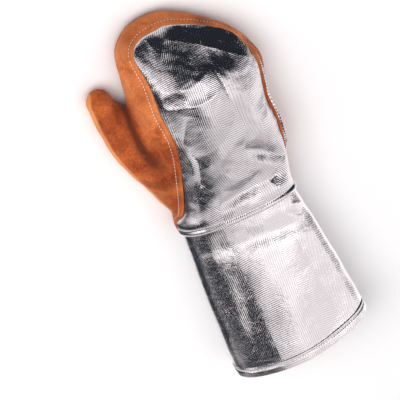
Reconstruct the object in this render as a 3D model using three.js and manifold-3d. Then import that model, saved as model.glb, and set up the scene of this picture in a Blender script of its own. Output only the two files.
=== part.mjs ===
import * as THREE from 'three';
import { mergeVertices } from 'three/addons/utils/BufferGeometryUtils.js';
import Module from 'manifold-3d';

// A right-hand welding gauntlet mitten of leather and aluminised cloth, lying palm down.
// Millimetres, +Z up, fingertips towards +Y, thumb towards -X. While it is shaped, y = 0 is the
// wrist seam and x = 0 is the middle of the cuff; the last lines put the origin under its centre.

const wasm = await Module();
wasm.setup();

// Lengths along the mitten
const handLength = 214; // wrist seam to fingertips
const cuffLength = 157; // wrist seam to the middle of the hem
const lapLength = 12; // how far the cuff reaches up inside the hand
const hemBow = 8; // how much further the hem reaches in its middle than at its sides
const hemFold = 9; // height of the folded hem

// Widths
const handWidth = 140; // over the widest fingers
const wristWidth = 113; // of the cuff where it enters the hand
const hemWidth = 137;
const thumbWidth = 31;

// Heights above the surface that it lies on
const handHeight = 69; // at the knuckle ridge
const wristHeight = 53;
const hemHeight = 62;
const thumbHeight = 30;
const palmSeamHeight = 7;

// Walls, seams and clearances
const clothWall = 1.6;
const leatherWall = 2.2;
const hemWall = 2.8; // cloth folded over
const hemStep = 1.5; // length over which the cuff thickens into its hem
const weltWall = 1.6;
const weltReach = 3; // how far the welt stands out of its seam
const palmTuck = 5; // how far the palm seam lies inside the widest line
const seamGap = 0.4;
const weltGap = 0.5;
const lapGap = 0.7;
const joinDepth = 1.2; // how deep the thumb's back runs into the side strip that it is cut with

// Shape of the tube sections
const cuffSquareness = 2.5; // exponent of the rounded section, 2 is an ellipse
const pressed = 0.93; // share of the lower half left above the surface
const wristSkew = 0.1; // how much the wrist seam leans towards the thumb side
const wristBlend = 45; // length over which the wrist section turns into the hand's
const flare = 1.5; // above 1 the cuff widens faster near the wrist
const backFullness = 2.4; // exponent of the back panel's crown across the hand
const palmFullness = 6;
const palmDrop = 1.25; // above 1 the palm meets the surface before its middle
const creaseStart = 0.6; // the palm stays flat where its creases are shallower

// Mesh fineness
const acrossSteps = 18;
const stripSteps = 5;
const lapRows = 2;
const alongSteps = 18;
const thumbColumns = 12;
const thumbSteps = 10;
const tipRows = 4;
const cuffColumns = 44;
const cuffSteps = 12;

// Edges of the hand from the thumb side of the wrist, over the tips, to the other side. The back
// seam joins the aluminised panel to the side strip; the side line is where that strip is widest.
// x is a share of handWidth, y of handLength and z of handHeight.
const handEdge = [
  { backX: -0.353, backY: 0.131, backZ: 0.50, sideX: -0.407, sideY: 0.131, sideZ: 0.36 },
  { backX: -0.289, backY: 0.271, backZ: 0.62, sideX: -0.411, sideY: 0.271, sideZ: 0.375 },
  { backX: -0.226, backY: 0.449, backZ: 0.70, sideX: -0.407, sideY: 0.449, sideZ: 0.39 },
  { backX: -0.232, backY: 0.617, backZ: 0.71, sideX: -0.364, sideY: 0.617, sideZ: 0.41 },
  { backX: -0.211, backY: 0.766, backZ: 0.68, sideX: -0.329, sideY: 0.766, sideZ: 0.36 },
  { backX: -0.211, backY: 0.902, backZ: 0.55, sideX: -0.282, sideY: 0.907, sideZ: 0.26 },
  { backX: -0.129, backY: 0.946, backZ: 0.45, sideX: -0.157, sideY: 0.984, sideZ: 0.23 },
  { backX: 0.000, backY: 0.958, backZ: 0.435, sideX: 0.000, sideY: 1.000, sideZ: 0.215 },
  { backX: 0.143, backY: 0.935, backZ: 0.42, sideX: 0.171, sideY: 0.965, sideZ: 0.215 },
  { backX: 0.357, backY: 0.846, backZ: 0.42, sideX: 0.400, sideY: 0.841, sideZ: 0.215 },
  { backX: 0.493, backY: 0.748, backZ: 0.435, sideX: 0.543, sideY: 0.715, sideZ: 0.23 },
  { backX: 0.550, backY: 0.598, backZ: 0.465, sideX: 0.600, sideY: 0.579, sideZ: 0.29 },
  { backX: 0.496, backY: 0.430, backZ: 0.52, sideX: 0.521, sideY: 0.430, sideZ: 0.41 },
  { backX: 0.493, backY: 0.280, backZ: 0.52, sideX: 0.521, sideY: 0.280, sideZ: 0.435 },
  { backX: 0.450, backY: 0.117, backZ: 0.45, sideX: 0.468, sideY: 0.117, sideZ: 0.41 },
];
const thumbSideRows = 6; // rows from the wrist to the first tip corner
const littleSideRows = 4; // rows from the second tip corner back to the wrist

// Height of the back along its middle, y as a share of handLength, z of handHeight
const ridge = [
  { y: 0.12, z: 0.81 },
  { y: 0.25, z: 0.88 },
  { y: 0.42, z: 0.97 },
  { y: 0.56, z: 1.00 },
  { y: 0.70, z: 0.91 },
  { y: 0.85, z: 0.69 },
  { y: 0.93, z: 0.53 },
  { y: 0.96, z: 0.43 },
];

// Sections of the thumb from its root in the hand to the ball of its tip. x is a share of
// handWidth, y of handLength, turn the angle of the section from the X axis towards the wrist
// in degrees, half a share of thumbWidth and rise a share of thumbHeight.
const thumbSections = [
  { x: -0.329, y: 0.276, turn: 88.6, half: 1.32, rise: 0.63 },
  { x: -0.389, y: 0.325, turn: 84.4, half: 1.15, rise: 0.62 },
  { x: -0.434, y: 0.388, turn: 76.5, half: 0.86, rise: 0.58 },
  { x: -0.468, y: 0.458, turn: 59.7, half: 0.67, rise: 0.54 },
  { x: -0.489, y: 0.537, turn: 38.0, half: 0.575, rise: 0.51 },
  { x: -0.501, y: 0.640, turn: 18.8, half: 0.50, rise: 0.50 },
  { x: -0.518, y: 0.731, turn: 7.0, half: 0.39, rise: 0.47 },
];
const thumbRootRows = 3; // rows from the root to the crotch
const thumbTip = 0.5; // reach of the tip past the last section, a share of thumbWidth

// Folds and dents. x and length are shares of handWidth, y of handLength, width and depth of
// handHeight; turn is the fold's direction from the X axis in degrees, and a ridge is negative.
const backFolds = [
  { name: 'inner palm fold', x: -0.13, y: 0.42, turn: 82, length: 0.26, width: 0.11, depth: 0.065 },
  { name: 'across the tips', x: 0.27, y: 0.79, turn: -41, length: 0.30, width: 0.09, depth: -0.012 },
  { name: 'knuckle break', x: 0.13, y: 0.695, turn: -14, length: 0.40, width: 0.18, depth: -0.032 },
  { name: 'little finger crease', x: 0.30, y: 0.22, turn: -47, length: 0.17, width: 0.10, depth: 0.06 },
  { name: 'wrist dimple', x: 0.34, y: 0.07, turn: 0, length: 0.09, width: 0.14, depth: 0.08 },
  { name: 'wrist sag', x: 0.02, y: 0.11, turn: 8, length: 0.30, width: 0.13, depth: 0.045 },
  { name: 'knuckle swell', x: 0.24, y: 0.56, turn: 10, length: 0.22, width: 0.30, depth: -0.04 },
];
// The palm's creases lift it off the surface where the fingers bend.
const palmFolds = [
  { name: 'finger crease', x: 0.13, y: 0.70, turn: -6, length: 0.34, width: 0.09, depth: 0.06 },
  { name: 'heel crease', x: 0.02, y: 0.36, turn: 24, length: 0.30, width: 0.10, depth: 0.07 },
];
// x is a share of hemWidth, y, length and width of cuffLength and depth of hemHeight.
const cuffFolds = [
  { name: 'thumb side facet', x: -0.28, y: -0.45, turn: 84, length: 0.55, width: 0.07, depth: 0.034 },
  { name: 'middle swell', x: 0.02, y: -0.62, turn: 80, length: 0.38, width: 0.12, depth: -0.035 },
  { name: 'under the wrist', x: 0.10, y: -0.17, turn: -12, length: 0.34, width: 0.06, depth: 0.05 },
  { name: 'hem wave', x: 0.24, y: -0.86, turn: 70, length: 0.16, width: 0.10, depth: 0.04 },
  { name: 'little finger facet', x: 0.36, y: -0.48, turn: 86, length: 0.34, width: 0.07, depth: 0.035 },
];

const mix = THREE.MathUtils.lerp;
const radians = THREE.MathUtils.degToRad;

// What the shares in a table of folds are shares of
const handUnits = { x: handWidth, y: handLength, length: handWidth, width: handHeight, depth: handHeight };
const cuffUnits = { x: hemWidth, y: cuffLength, length: cuffLength, width: cuffLength, depth: hemHeight };

// Depth of a table of folds at a place
function foldDepth(folds, units, x, y) {
  let depth = 0;
  for (const fold of folds) {
    const turn = radians(fold.turn);
    const dx = x - fold.x * units.x;
    const dy = y - fold.y * units.y;
    const far = (dx * Math.cos(turn) + dy * Math.sin(turn)) / (fold.length * units.length);
    const near = (dy * Math.cos(turn) - dx * Math.sin(turn)) / (fold.width * units.width);
    depth += fold.depth * units.depth * Math.exp(-far * far - near * near);
  }
  return depth;
}

function curveThrough(points) {
  const curve = new THREE.CatmullRomCurve3(points, false, 'catmullrom', 0.5);
  const last = points.length - 1;
  return (row) => curve.getPoint(row / last);
}

// The wrist and cuff tube: half sizes of its section at a distance past the wrist seam.
function tubeSection(station, grow = 0) {
  const down = Math.min(Math.max(-station / cuffLength, 0), 1);
  const eased = 1 - (1 - down) ** flare;
  const halfHeight = mix(wristHeight, hemHeight, eased) / (1 + pressed);
  return {
    halfWidth: mix(wristWidth, hemWidth, eased) / 2 + grow,
    halfHeight: halfHeight + grow,
    middle: halfHeight * pressed,
  };
}

function rounded(share, exponent) {
  return Math.max(1 - Math.abs(share) ** exponent, 0) ** (1 / exponent);
}

// Seams of the hand, all with the same rows. The first and last two rows lie on the wrist tube.
const handGrow = leatherWall + lapGap;
const wristTube = tubeSection(0, handGrow);

function wristPoint(side, height, station) {
  const share = (height - wristTube.middle) / wristTube.halfHeight;
  const x = side * wristTube.halfWidth * rounded(share, cuffSquareness);
  return new THREE.Vector3(x, station - wristSkew * x, height);
}

function seamRows(height, fromEdge) {
  const start = [0, lapLength].map((station) => wristPoint(-1, height, station));
  const end = [lapLength, 0].map((station) => wristPoint(1, height, station));
  return [...start, ...handEdge.map(fromEdge), ...end];
}

const backRows = seamRows(wristTube.middle, (row) => new THREE.Vector3(
  row.backX * handWidth, row.backY * handLength, row.backZ * handHeight));
const sideRows = seamRows((wristTube.middle + palmSeamHeight) / 2, (row) => new THREE.Vector3(
  row.sideX * handWidth, row.sideY * handLength, row.sideZ * handHeight));
const sideLine = curveThrough(sideRows);
const backSeam = curveThrough(backRows);

const palmRows = sideRows.map((point, index) => {
  const onWrist = index < lapRows || index >= sideRows.length - lapRows;
  if (onWrist) {
    return wristPoint(Math.sign(point.x), palmSeamHeight, point.y + wristSkew * point.x);
  }
  const step = sideRows[index + 1].clone().sub(sideRows[index - 1]).setZ(0).normalize();
  const inward = new THREE.Vector3(step.y, -step.x, 0);
  return point.clone().addScaledVector(inward, palmTuck).setZ(palmSeamHeight);
});
const palmSeam = curveThrough(palmRows);

// Rows of the seams at which the panels are cut into steps
const lastRow = backRows.length - 1;
const firstCorner = lapRows + thumbSideRows - 1;
const secondCorner = lastRow - lapRows - littleSideRows;

function spread(from, to, steps) {
  return Array.from({ length: steps + 1 }, (_, k) => mix(from, to, k / steps));
}

const freeSteps = alongSteps - lapRows + 1;
const leftStops = [0, ...spread(lapRows - 1, firstCorner, freeSteps)];
const rightStops = [lastRow, ...spread(lastRow - lapRows + 1, secondCorner, freeSteps)];
const tipStops = spread(firstCorner, secondCorner, acrossSteps);
const rimStops = [...leftStops, ...tipStops.slice(1), ...rightStops.slice(0, -1).reverse()];
const lastStop = rimStops.length - 1;

// Shares across a panel: crowded towards the edges on the round wrist, even further on.
function crowded(steps) {
  return spread(0, Math.PI, steps).map((angle) => (1 - Math.cos(angle)) / 2);
}

const evenShares = spread(0, 1, acrossSteps);
const wristShares = crowded(acrossSteps);

function rowShares(row) {
  const freedom = THREE.MathUtils.smoothstep(row, lapRows - 1, alongSteps / 2);
  return wristShares.map((share, column) => mix(share, evenShares[column], freedom));
}

// A panel with four sides: its plan follows the left, right and far edges of a seam.
function panelPlan(left, right, far) {
  const rows = left.length - 1;
  const nearLeft = left[0];
  const nearRight = right[0];
  return left.map((_, row) => rowShares(row).map((share, column) => {
    const along = row / rows;
    const point = new THREE.Vector3();
    point.addScaledVector(left[row], 1 - share).addScaledVector(right[row], share);
    point.addScaledVector(nearLeft, (1 - along) * (1 - share));
    point.addScaledVector(nearRight, (1 - along) * share);
    point.addScaledVector(far[column], along);
    point.addScaledVector(nearLeft, -(1 - along) * (1 - share));
    point.addScaledVector(nearRight, -(1 - along) * share);
    point.addScaledVector(left[rows], -along * (1 - share));
    point.addScaledVector(right[rows], -along * share);
    return point;
  }));
}

// Height of the back along its middle, on a smooth line from the top of the wrist
const ridgePoints = [
  { y: lapLength, z: wristTube.middle + wristTube.halfHeight },
  ...ridge.map((row) => ({ y: row.y * handLength, z: row.z * handHeight })),
];

function ridgeSlope(index) {
  const before = ridgePoints[Math.max(index - 1, 0)];
  const after = ridgePoints[Math.min(index + 1, ridgePoints.length - 1)];
  return (after.z - before.z) / (after.y - before.y);
}

function ridgeHeight(y) {
  const next = ridgePoints.findIndex((point) => point.y > y);
  if (next < 1) {
    return ridgePoints[next === 0 ? 0 : ridgePoints.length - 1].z;
  }
  const [low, high] = [ridgePoints[next - 1], ridgePoints[next]];
  const gap = high.y - low.y;
  const share = (y - low.y) / gap;
  const rest = 1 - share;
  const bend = rest * ridgeSlope(next - 1) - share * ridgeSlope(next);
  const straight = mix(low.z, high.z, THREE.MathUtils.smoothstep(share, 0, 1));
  return straight + share * rest * bend * gap;
}

// The aluminised panel rises from the back seam to a crown along its middle.
function backSurface() {
  const left = leftStops.map(backSeam);
  const right = rightStops.map(backSeam);
  const plan = panelPlan(left, right, tipStops.map(backSeam));
  return plan.map((row, index) => {
    const middle = row[acrossSteps / 2];
    const inside = index < alongSteps; // the far row lies on the seam
    const crown = inside ? ridgeHeight(middle.y) - middle.z : 0;
    const folding = inside ? THREE.MathUtils.clamp(middle.y / lapLength - 1, 0, 1) : 0;
    const shares = rowShares(index);
    return row.map((point, column) => {
      const offCentre = 2 * shares[column] - 1;
      const freedom = THREE.MathUtils.smoothstep(point.y, lapLength, lapLength + wristBlend);
      const tube = rounded(offCentre, cuffSquareness);
      const pillow = 1 - Math.abs(offCentre) ** backFullness;
      const fold = foldDepth(backFolds, handUnits, point.x, point.y);
      const lift = crown * mix(tube, pillow, freedom) - fold * pillow * folding;
      return point.clone().add(new THREE.Vector3(0, 0, lift));
    });
  });
}

// The palm sinks from its seam to the surface that the mitten lies on.
function palmSurface() {
  const left = leftStops.map(palmSeam);
  const right = rightStops.map(palmSeam);
  const plan = panelPlan(left, right, tipStops.map(palmSeam));
  const seamShare = wristPoint(1, palmSeamHeight, 0).x / wristTube.halfWidth;
  return plan.map((row, index) => row.map((point, column) => {
    const offCentre = 2 * rowShares(index)[column] - 1;
    const sunk = point.clone();
    const freedom = THREE.MathUtils.smoothstep(point.y, lapLength, lapLength + wristBlend);
    const tube = wristTube.middle - wristTube.halfHeight * rounded(offCentre * seamShare, cuffSquareness);
    const atTip = (alongSteps - index) / alongSteps;
    const edge = (1 - Math.abs(offCentre) ** palmFullness) * (1 - (1 - atTip) ** palmFullness);
    const fold = foldDepth(palmFolds, handUnits, point.x, point.y);
    const creases = Math.max(fold - creaseStart, 0);
    const inner = column > 0 && column < acrossSteps && index < alongSteps;
    const low = Math.max(palmSeamHeight * (1 - palmDrop * edge), creases * edge);
    sunk.z = inner ? mix(Math.max(tube, 0), low, freedom) : point.z;
    return sunk;
  }));
}

// The side strip curves out from the back seam to the side line and in to the palm seam, and
// near the wrist it follows the tube that laps over the cuff.
function gussetSurface() {
  return spread(0, 1, stripSteps).map((share) => rimStops.map((stop) => {
    const back = backSeam(stop);
    const side = sideLine(stop);
    const palm = palmSeam(stop);
    const straight = back.clone().lerp(palm, share);
    const pull = side.clone().sub(back.clone().lerp(palm, 0.5)).multiplyScalar(4 * share * (1 - share));
    const [top, foot] = [wristTube.middle, palmSeamHeight];
    const tubeAt = (height) => wristPoint(Math.sign(back.x), height, 0);
    const tube = tubeAt(mix(top, foot, share)).sub(tubeAt(top).lerp(tubeAt(foot), share));
    const freedom = THREE.MathUtils.smoothstep(back.y, lapLength, lapLength + wristBlend);
    return straight.add(tube.lerp(pull, freedom));
  }));
}

// Directions into the mitten at each point of a surface; outward says which way it faces.
function inwardDirections(surface, outward) {
  const rows = surface.length - 1;
  const columns = surface[0].length - 1;
  const directions = surface.map((line, row) => line.map((_, column) => {
    const up = surface[Math.min(row + 1, rows)][column];
    const down = surface[Math.max(row - 1, 0)][column];
    const right = surface[row][Math.min(column + 1, columns)];
    const left = surface[row][Math.max(column - 1, 0)];
    const across = right.clone().sub(left);
    const normal = across.cross(up.clone().sub(down)).normalize();
    return normal.multiplyScalar(-outward);
  }));
  for (const row of [0, rows]) {
    for (const column of [0, columns]) {
      const nextRow = row === 0 ? 1 : rows - 1;
      const nextColumn = column === 0 ? 1 : columns - 1;
      directions[row][column] = directions[nextRow][nextColumn].clone();
    }
  }
  return directions;
}

// Places of a four-sided panel's rim in its grid: up its left side, over its far end and down.
function rimPlaces(rows, columns) {
  const left = Array.from({ length: rows + 1 }, (_, row) => [row, 0]);
  const far = Array.from({ length: columns - 1 }, (_, k) => [rows, k + 1]);
  const right = Array.from({ length: rows + 1 }, (_, k) => [rows - k, columns]);
  return [...left, ...far, ...right];
}

// Two surfaces that meet along a seam have the same points there.
function joinSeam(first, firstPlaces, second, secondPlaces) {
  firstPlaces.forEach(([row, column], index) => {
    const [otherRow, otherColumn] = secondPlaces[index];
    second[otherRow][otherColumn].copy(first[row][column]);
  });
}

// They also share one direction there.
function shareSeam(first, firstPlaces, second, secondPlaces) {
  firstPlaces.forEach(([row, column], index) => {
    const [otherRow, otherColumn] = secondPlaces[index];
    const mean = first[row][column].clone().add(second[otherRow][otherColumn]).normalize();
    first[row][column] = mean;
    second[otherRow][otherColumn] = mean.clone();
  });
}

function offsetSurface(surface, directions, distance) {
  return surface.map((line, row) => line.map((point, column) => {
    const amount = typeof distance === 'function' ? distance(row, column) : distance;
    return point.clone().addScaledVector(directions[row][column], amount);
  }));
}

// Pulls one edge of a panel back from its seam, along the panel.
function pullBack(layers, places, neighbours, amount) {
  for (const layer of layers) {
    const moved = places.map(([row, column], index) => {
      const [nextRow, nextColumn] = neighbours[index];
      const step = layer[nextRow][nextColumn].clone().sub(layer[row][column]).normalize();
      return layer[row][column].clone().addScaledVector(step, amount(index));
    });
    places.forEach(([row, column], index) => {
      layer[row][column] = moved[index];
    });
  }
}

// A closed solid from triangles of shared points, with its faces turned outwards.
function solidOf(points, faces) {
  const vertProperties = new Float32Array(points.flatMap((point) => [point.x, point.y, point.z]));
  let volume = 0;
  for (const [a, b, c] of faces) {
    volume += points[a].dot(points[b].clone().cross(points[c]));
  }
  const turned = volume < 0 ? faces.map(([a, b, c]) => [a, c, b]) : faces;
  const triVerts = new Uint32Array(turned.flat());
  return new wasm.Manifold(new wasm.Mesh({ numProp: 3, vertProperties, triVerts }));
}

// A wall between an outer and an inner grid; closed says that its columns run all the way round.
function wallSolid(outer, inner, closed = false) {
  const rows = outer.length;
  const columns = outer[0].length;
  const points = [...outer.flat(), ...inner.flat()];
  const half = rows * columns;
  const faces = [];
  const quad = (a, b, c, d) => faces.push([a, b, c], [a, c, d]);
  const at = (row, column) => row * columns + column % columns;
  const lastColumn = closed ? columns : columns - 1;
  for (let row = 0; row < rows - 1; row += 1) {
    for (let column = 0; column < lastColumn; column += 1) {
      const corners = [at(row, column), at(row, column + 1), at(row + 1, column + 1), at(row + 1, column)];
      quad(...corners);
      quad(...corners.map((corner) => corner + half).reverse());
    }
  }
  for (let column = 0; column < lastColumn; column += 1) {
    const [near, nearNext] = [at(0, column), at(0, column + 1)];
    const [far, farNext] = [at(rows - 1, column), at(rows - 1, column + 1)];
    quad(near + half, nearNext + half, nearNext, near);
    quad(far, farNext, farNext + half, far + half);
  }
  if (!closed) {
    for (let row = 0; row < rows - 1; row += 1) {
      const [left, leftNext] = [at(row, 0), at(row + 1, 0)];
      const [right, rightNext] = [at(row, columns - 1), at(row + 1, columns - 1)];
      quad(left, leftNext, leftNext + half, left + half);
      quad(right + half, rightNext + half, rightNext, right);
    }
  }
  return solidOf(points, faces);
}

// A filled body from surfaces that meet along seams, closed by a fan over its open end.
function filledBody(surfaces, openEnd) {
  const positions = [];
  const add = (a, b, c) => positions.push(a.x, a.y, a.z, b.x, b.y, b.z, c.x, c.y, c.z);
  for (const { grid, flip } of surfaces) {
    for (let row = 0; row < grid.length - 1; row += 1) {
      for (let column = 0; column < grid[0].length - 1; column += 1) {
        const [near, far] = [grid[row], grid[row + 1]];
        const corners = [near[column], near[column + 1], far[column + 1], far[column]];
        const [a, b, c, d] = flip ? corners.reverse() : corners;
        add(a, b, c);
        add(a, c, d);
      }
    }
  }
  const centre = openEnd.reduce((sum, point) => sum.add(point), new THREE.Vector3());
  centre.divideScalar(openEnd.length);
  openEnd.forEach((point, index) => add(point, openEnd[(index + 1) % openEnd.length], centre));
  const loose = new THREE.BufferGeometry();
  loose.setAttribute('position', new THREE.Float32BufferAttribute(positions, 3));
  const merged = mergeVertices(loose, 1e-4);
  const place = merged.getAttribute('position');
  const pointAt = (k) => new THREE.Vector3().fromBufferAttribute(place, k);
  const points = Array.from({ length: place.count }, (_, k) => pointAt(k));
  const index = Array.from(merged.getIndex().array);
  const faces = Array.from({ length: index.length / 3 }, (_, k) => index.slice(3 * k, 3 * k + 3));
  return solidOf(points, faces.filter(([a, b, c]) => a !== b && b !== c && c !== a));
}

// The hand's three panels
const back = backSurface();
const palm = palmSurface();
const gusset = gussetSurface();
const handRim = rimPlaces(alongSteps, acrossSteps);
const gussetTop = rimStops.map((_, column) => [0, column]);
const gussetFoot = rimStops.map((_, column) => [stripSteps, column]);
joinSeam(back, handRim, gusset, gussetTop);
joinSeam(palm, handRim, gusset, gussetFoot);
const backIn = inwardDirections(back, 1);
const palmIn = inwardDirections(palm, -1);
const gussetIn = inwardDirections(gusset, 1);
shareSeam(backIn, handRim, gussetIn, gussetTop);
shareSeam(palmIn, handRim, gussetIn, gussetFoot);

// The filled hand, grown outwards, which the thumb is trimmed against
function handBody(grow) {
  const grids = [
    { grid: offsetSurface(back, backIn, -grow), flip: false },
    { grid: offsetSurface(gusset, gussetIn, -grow), flip: false },
    { grid: offsetSurface(palm, palmIn, -grow), flip: true },
  ];
  const [backGrid, gussetGrid, palmGrid] = grids.map(({ grid }) => grid);
  const end = [
    ...backGrid[0].slice().reverse(),
    ...gussetGrid.slice(1).map((line) => line[0]),
    ...palmGrid[0].slice(1),
    ...gussetGrid.slice(1, -1).reverse().map((line) => line[lastStop]),
  ];
  return filledBody(grids, end);
}

// The thumb: its edge runs up its outer side, round the tip and back to the crotch.
const thumbFrames = thumbSections.map((section) => {
  const turn = radians(section.turn);
  return {
    middle: new THREE.Vector3(section.x * handWidth, section.y * handLength, 0),
    outwards: new THREE.Vector3(-Math.cos(turn), -Math.sin(turn), 0),
    half: section.half * thumbWidth,
    rise: section.rise * thumbHeight,
  };
});
const thumbEdge = (side) => curveThrough(thumbFrames.map(({ middle, outwards, half, rise }) => (
  middle.clone().addScaledVector(outwards, side * half).setZ(pressed * rise))));
const thumbRise = curveThrough(thumbFrames.map(({ rise }) => new THREE.Vector3(rise, 0, 0)));
const thumbStops = spread(0, thumbSections.length - 1, thumbSteps);

const roundShares = crowded(thumbColumns);

function thumbSurface(up) {
  const left = thumbStops.map(thumbEdge(1));
  const right = thumbStops.map(thumbEdge(-1));
  const tip = thumbFrames[thumbFrames.length - 1];
  const forwards = new THREE.Vector3(tip.outwards.y, -tip.outwards.x, 0);
  const rows = left.map((_, row) => roundShares.map((share) => left[row].clone().lerp(right[row], share)));
  const grid = rows.map((line, row) => line.map((point, column) => {
    const rise = thumbRise(thumbStops[row]).x * rounded(2 * roundShares[column] - 1, 2);
    return point.clone().setZ(Math.max(point.z + up * rise, 0));
  }));
  for (const angle of spread(0, Math.PI / 2, tipRows).slice(1)) {
    // A half square laid over a half disc, so that its rows end on the round edge
    const far = Math.sin(angle);
    grid.push(roundShares.map((share) => {
      const aside = (2 * share - 1) * Math.sqrt(1 - far * far / 2);
      const ahead = far * Math.sqrt(1 - (2 * share - 1) ** 2 / 2);
      const point = tip.middle.clone().addScaledVector(tip.outwards, -aside * tip.half);
      point.addScaledVector(forwards, thumbTip * thumbWidth * ahead);
      const rise = tip.rise * Math.sqrt(Math.max(1 - aside * aside - ahead * ahead, 0));
      return point.setZ(Math.max(pressed * tip.rise + up * rise, 0));
    }));
  }
  return grid;
}

const thumbBack = thumbSurface(1);
const thumbFront = thumbSurface(-1);
const thumbRim = rimPlaces(thumbBack.length - 1, thumbColumns);
joinSeam(thumbBack, thumbRim, thumbFront, thumbRim);
const thumbBackIn = inwardDirections(thumbBack, 1);
const thumbFrontIn = inwardDirections(thumbFront, -1);
shareSeam(thumbBackIn, thumbRim, thumbFrontIn, thumbRim);

function thumbBody(shrink) {
  const backGrid = offsetSurface(thumbBack, thumbBackIn, shrink);
  const frontGrid = offsetSurface(thumbFront, thumbFrontIn, shrink);
  const end = [...backGrid[0].slice().reverse(), ...frontGrid[0].slice(1, -1)];
  return filledBody([{ grid: backGrid, flip: false }, { grid: frontGrid, flip: true }], end);
}

// Each panel becomes a wall whose edges stop short of its seams.
function rimNeighbours(rows, columns) {
  return rimPlaces(rows, columns).map(([row, column]) => [
    Math.min(row, rows - 1),
    THREE.MathUtils.clamp(column, 1, columns - 1),
  ]);
}

const handRimNeighbours = rimNeighbours(alongSteps, acrossSteps);
const halfGap = () => seamGap / 2;
// The welt starts past the crotch of the thumb.
const crotch = thumbEdge(-1)(thumbRootRows);
const weltStart = rimStops.findIndex((stop) => palmSeam(stop).y > crotch.y);

function handBackSolid() {
  const inner = offsetSurface(back, backIn, clothWall);
  const outer = offsetSurface(back, backIn, 0);
  pullBack([outer, inner], handRim, handRimNeighbours, halfGap);
  return wallSolid(outer, inner);
}

// The side strip is sewn together from two lengths of leather where the tips begin.
const crossSeam = alongSteps;

function stripSolid(from, to) {
  const places = (row) => rimStops.map((_, column) => [row, column]);
  const inner = offsetSurface(gusset, gussetIn, leatherWall);
  const outer = offsetSurface(gusset, gussetIn, 0);
  pullBack([outer, inner], gussetTop, places(1), halfGap);
  pullBack([outer, inner], gussetFoot, places(stripSteps - 1), halfGap);
  const lengths = [outer, inner].map((grid) => grid.map((line) => line.slice(from, to + 1)));
  const [end, next] = from === crossSeam ? [0, 1] : [to, to - 1];
  const column = (at) => lengths[0].map((_, row) => [row, at]);
  pullBack(lengths, column(end), column(next), halfGap);
  return wallSolid(...lengths).subtract(weltSlot());
}

// The length on the thumb's side is cut in one with the back of the thumb.
function thumbSideSolid() {
  const strip = stripSolid(0, crossSeam).subtract(thumbBody(leatherWall));
  return strip.add(thumbHalfSolid(thumbBack, thumbBackIn, -joinDepth));
}

function tipSideSolid() {
  return stripSolid(crossSeam, lastStop);
}

function palmSolid() {
  const inner = offsetSurface(palm, palmIn, leatherWall);
  const outer = offsetSurface(palm, palmIn, 0);
  pullBack([outer, inner], handRim, handRimNeighbours, halfGap);
  return wallSolid(outer, inner).subtract(thumbBody(leatherWall)).subtract(weltSlot());
}

// The welt stands in the palm seam. Grown, and cut deeper, it is the slot that the panels leave.
function weltSolid(grow = 0, deeper = 0) {
  const line = rimStops.slice(weltStart).map(palmSeam);
  const last = line.length - 1;
  const side = (offset, reach) => line.map((point, index) => {
    const inward = gussetIn[stripSteps][weltStart + index];
    const along = line[Math.min(index + 1, last)].clone().sub(line[Math.max(index - 1, 0)]).normalize();
    const thick = along.clone().cross(inward).normalize();
    const beyond = { 0: -grow, [last]: grow }[index] ?? 0;
    const placed = point.clone().addScaledVector(along, beyond);
    return placed.addScaledVector(inward, reach).addScaledVector(thick, offset);
  });
  const offset = weltWall / 2 + grow;
  const [outside, inside] = [-weltReach - grow, leatherWall + deeper];
  const lower = [side(-offset, outside), side(-offset, inside)];
  const upper = [side(offset, outside), side(offset, inside)];
  return wallSolid(lower, upper);
}

function weltSlot() {
  return weltSolid(weltGap, leatherWall);
}

function thumbHalfSolid(surface, directions, clearance) {
  const inner = offsetSurface(surface, directions, leatherWall);
  const outer = offsetSurface(surface, directions, 0);
  const rim = thumbRim.filter(([row]) => row > 0);
  const steps = rimNeighbours(surface.length - 1, thumbColumns).filter((_, index) => thumbRim[index][0] > 0);
  pullBack([outer, inner], rim, steps, halfGap);
  return wallSolid(outer, inner).subtract(handBody(clearance));
}

// The cuff: a tube that flattens where it lies and is lifted where the hand laps over it.
function cuffSolid() {
  const angles = spread(0, 2 * Math.PI, cuffColumns).slice(0, -1);
  const lapLift = leatherWall + lapGap;
  const foldEdge = hemFold - cuffLength;
  const stations = [...spread(lapLength, foldEdge, cuffSteps), foldEdge - hemStep, -cuffLength];
  const lastStation = stations.length - 1;
  const outer = stations.map((station) => {
    const down = (lapLength - station) / (lapLength + cuffLength);
    const { halfWidth, halfHeight, middle } = tubeSection(station);
    const floor = lapLift * THREE.MathUtils.smoothstep(station, -2 * lapLength, 0);
    return angles.map((angle) => {
      const [c, s] = [Math.cos(angle), Math.sin(angle)];
      const share = Math.sign(c) * Math.abs(c) ** (2 / cuffSquareness);
      const x = halfWidth * share;
      const top = lapLength - wristSkew * x;
      const hem = -(cuffLength - hemBow * share * share);
      const y = mix(top, hem, down);
      let z = middle + halfHeight * Math.sign(s) * Math.abs(s) ** (2 / cuffSquareness);
      if (s > 0) {
        const clear = THREE.MathUtils.smoothstep(-station, 0, lapLength);
        z -= clear * s * foldDepth(cuffFolds, cuffUnits, x, y);
      }
      return new THREE.Vector3(x, y, Math.max(z, floor));
    });
  });
  const inner = outer.map((line, row) => line.map((point, column) => {
    const count = line.length;
    const ahead = line[(column + 1) % count].clone().sub(line[(column + count - 1) % count]);
    const below = outer[Math.min(row + 1, lastStation)][column];
    const down = below.clone().sub(outer[Math.max(row - 1, 0)][column]);
    const normal = ahead.cross(down).normalize();
    const middle = new THREE.Vector3(0, point.y, hemHeight / 2);
    const inward = normal.dot(middle.sub(point)) < 0 ? normal.negate() : normal;
    const thickness = stations[row] < foldEdge ? hemWall : clothWall;
    return point.clone().addScaledVector(inward, thickness).setY(point.y);
  }));
  return wallSolid(outer, inner, true);
}

const finishes = {
  cloth: { color: 0xc9c6c8, roughness: 0.3, metalness: 0.9 },
  leather: { color: 0xb4622a, roughness: 0.85, metalness: 0 },
};

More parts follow.
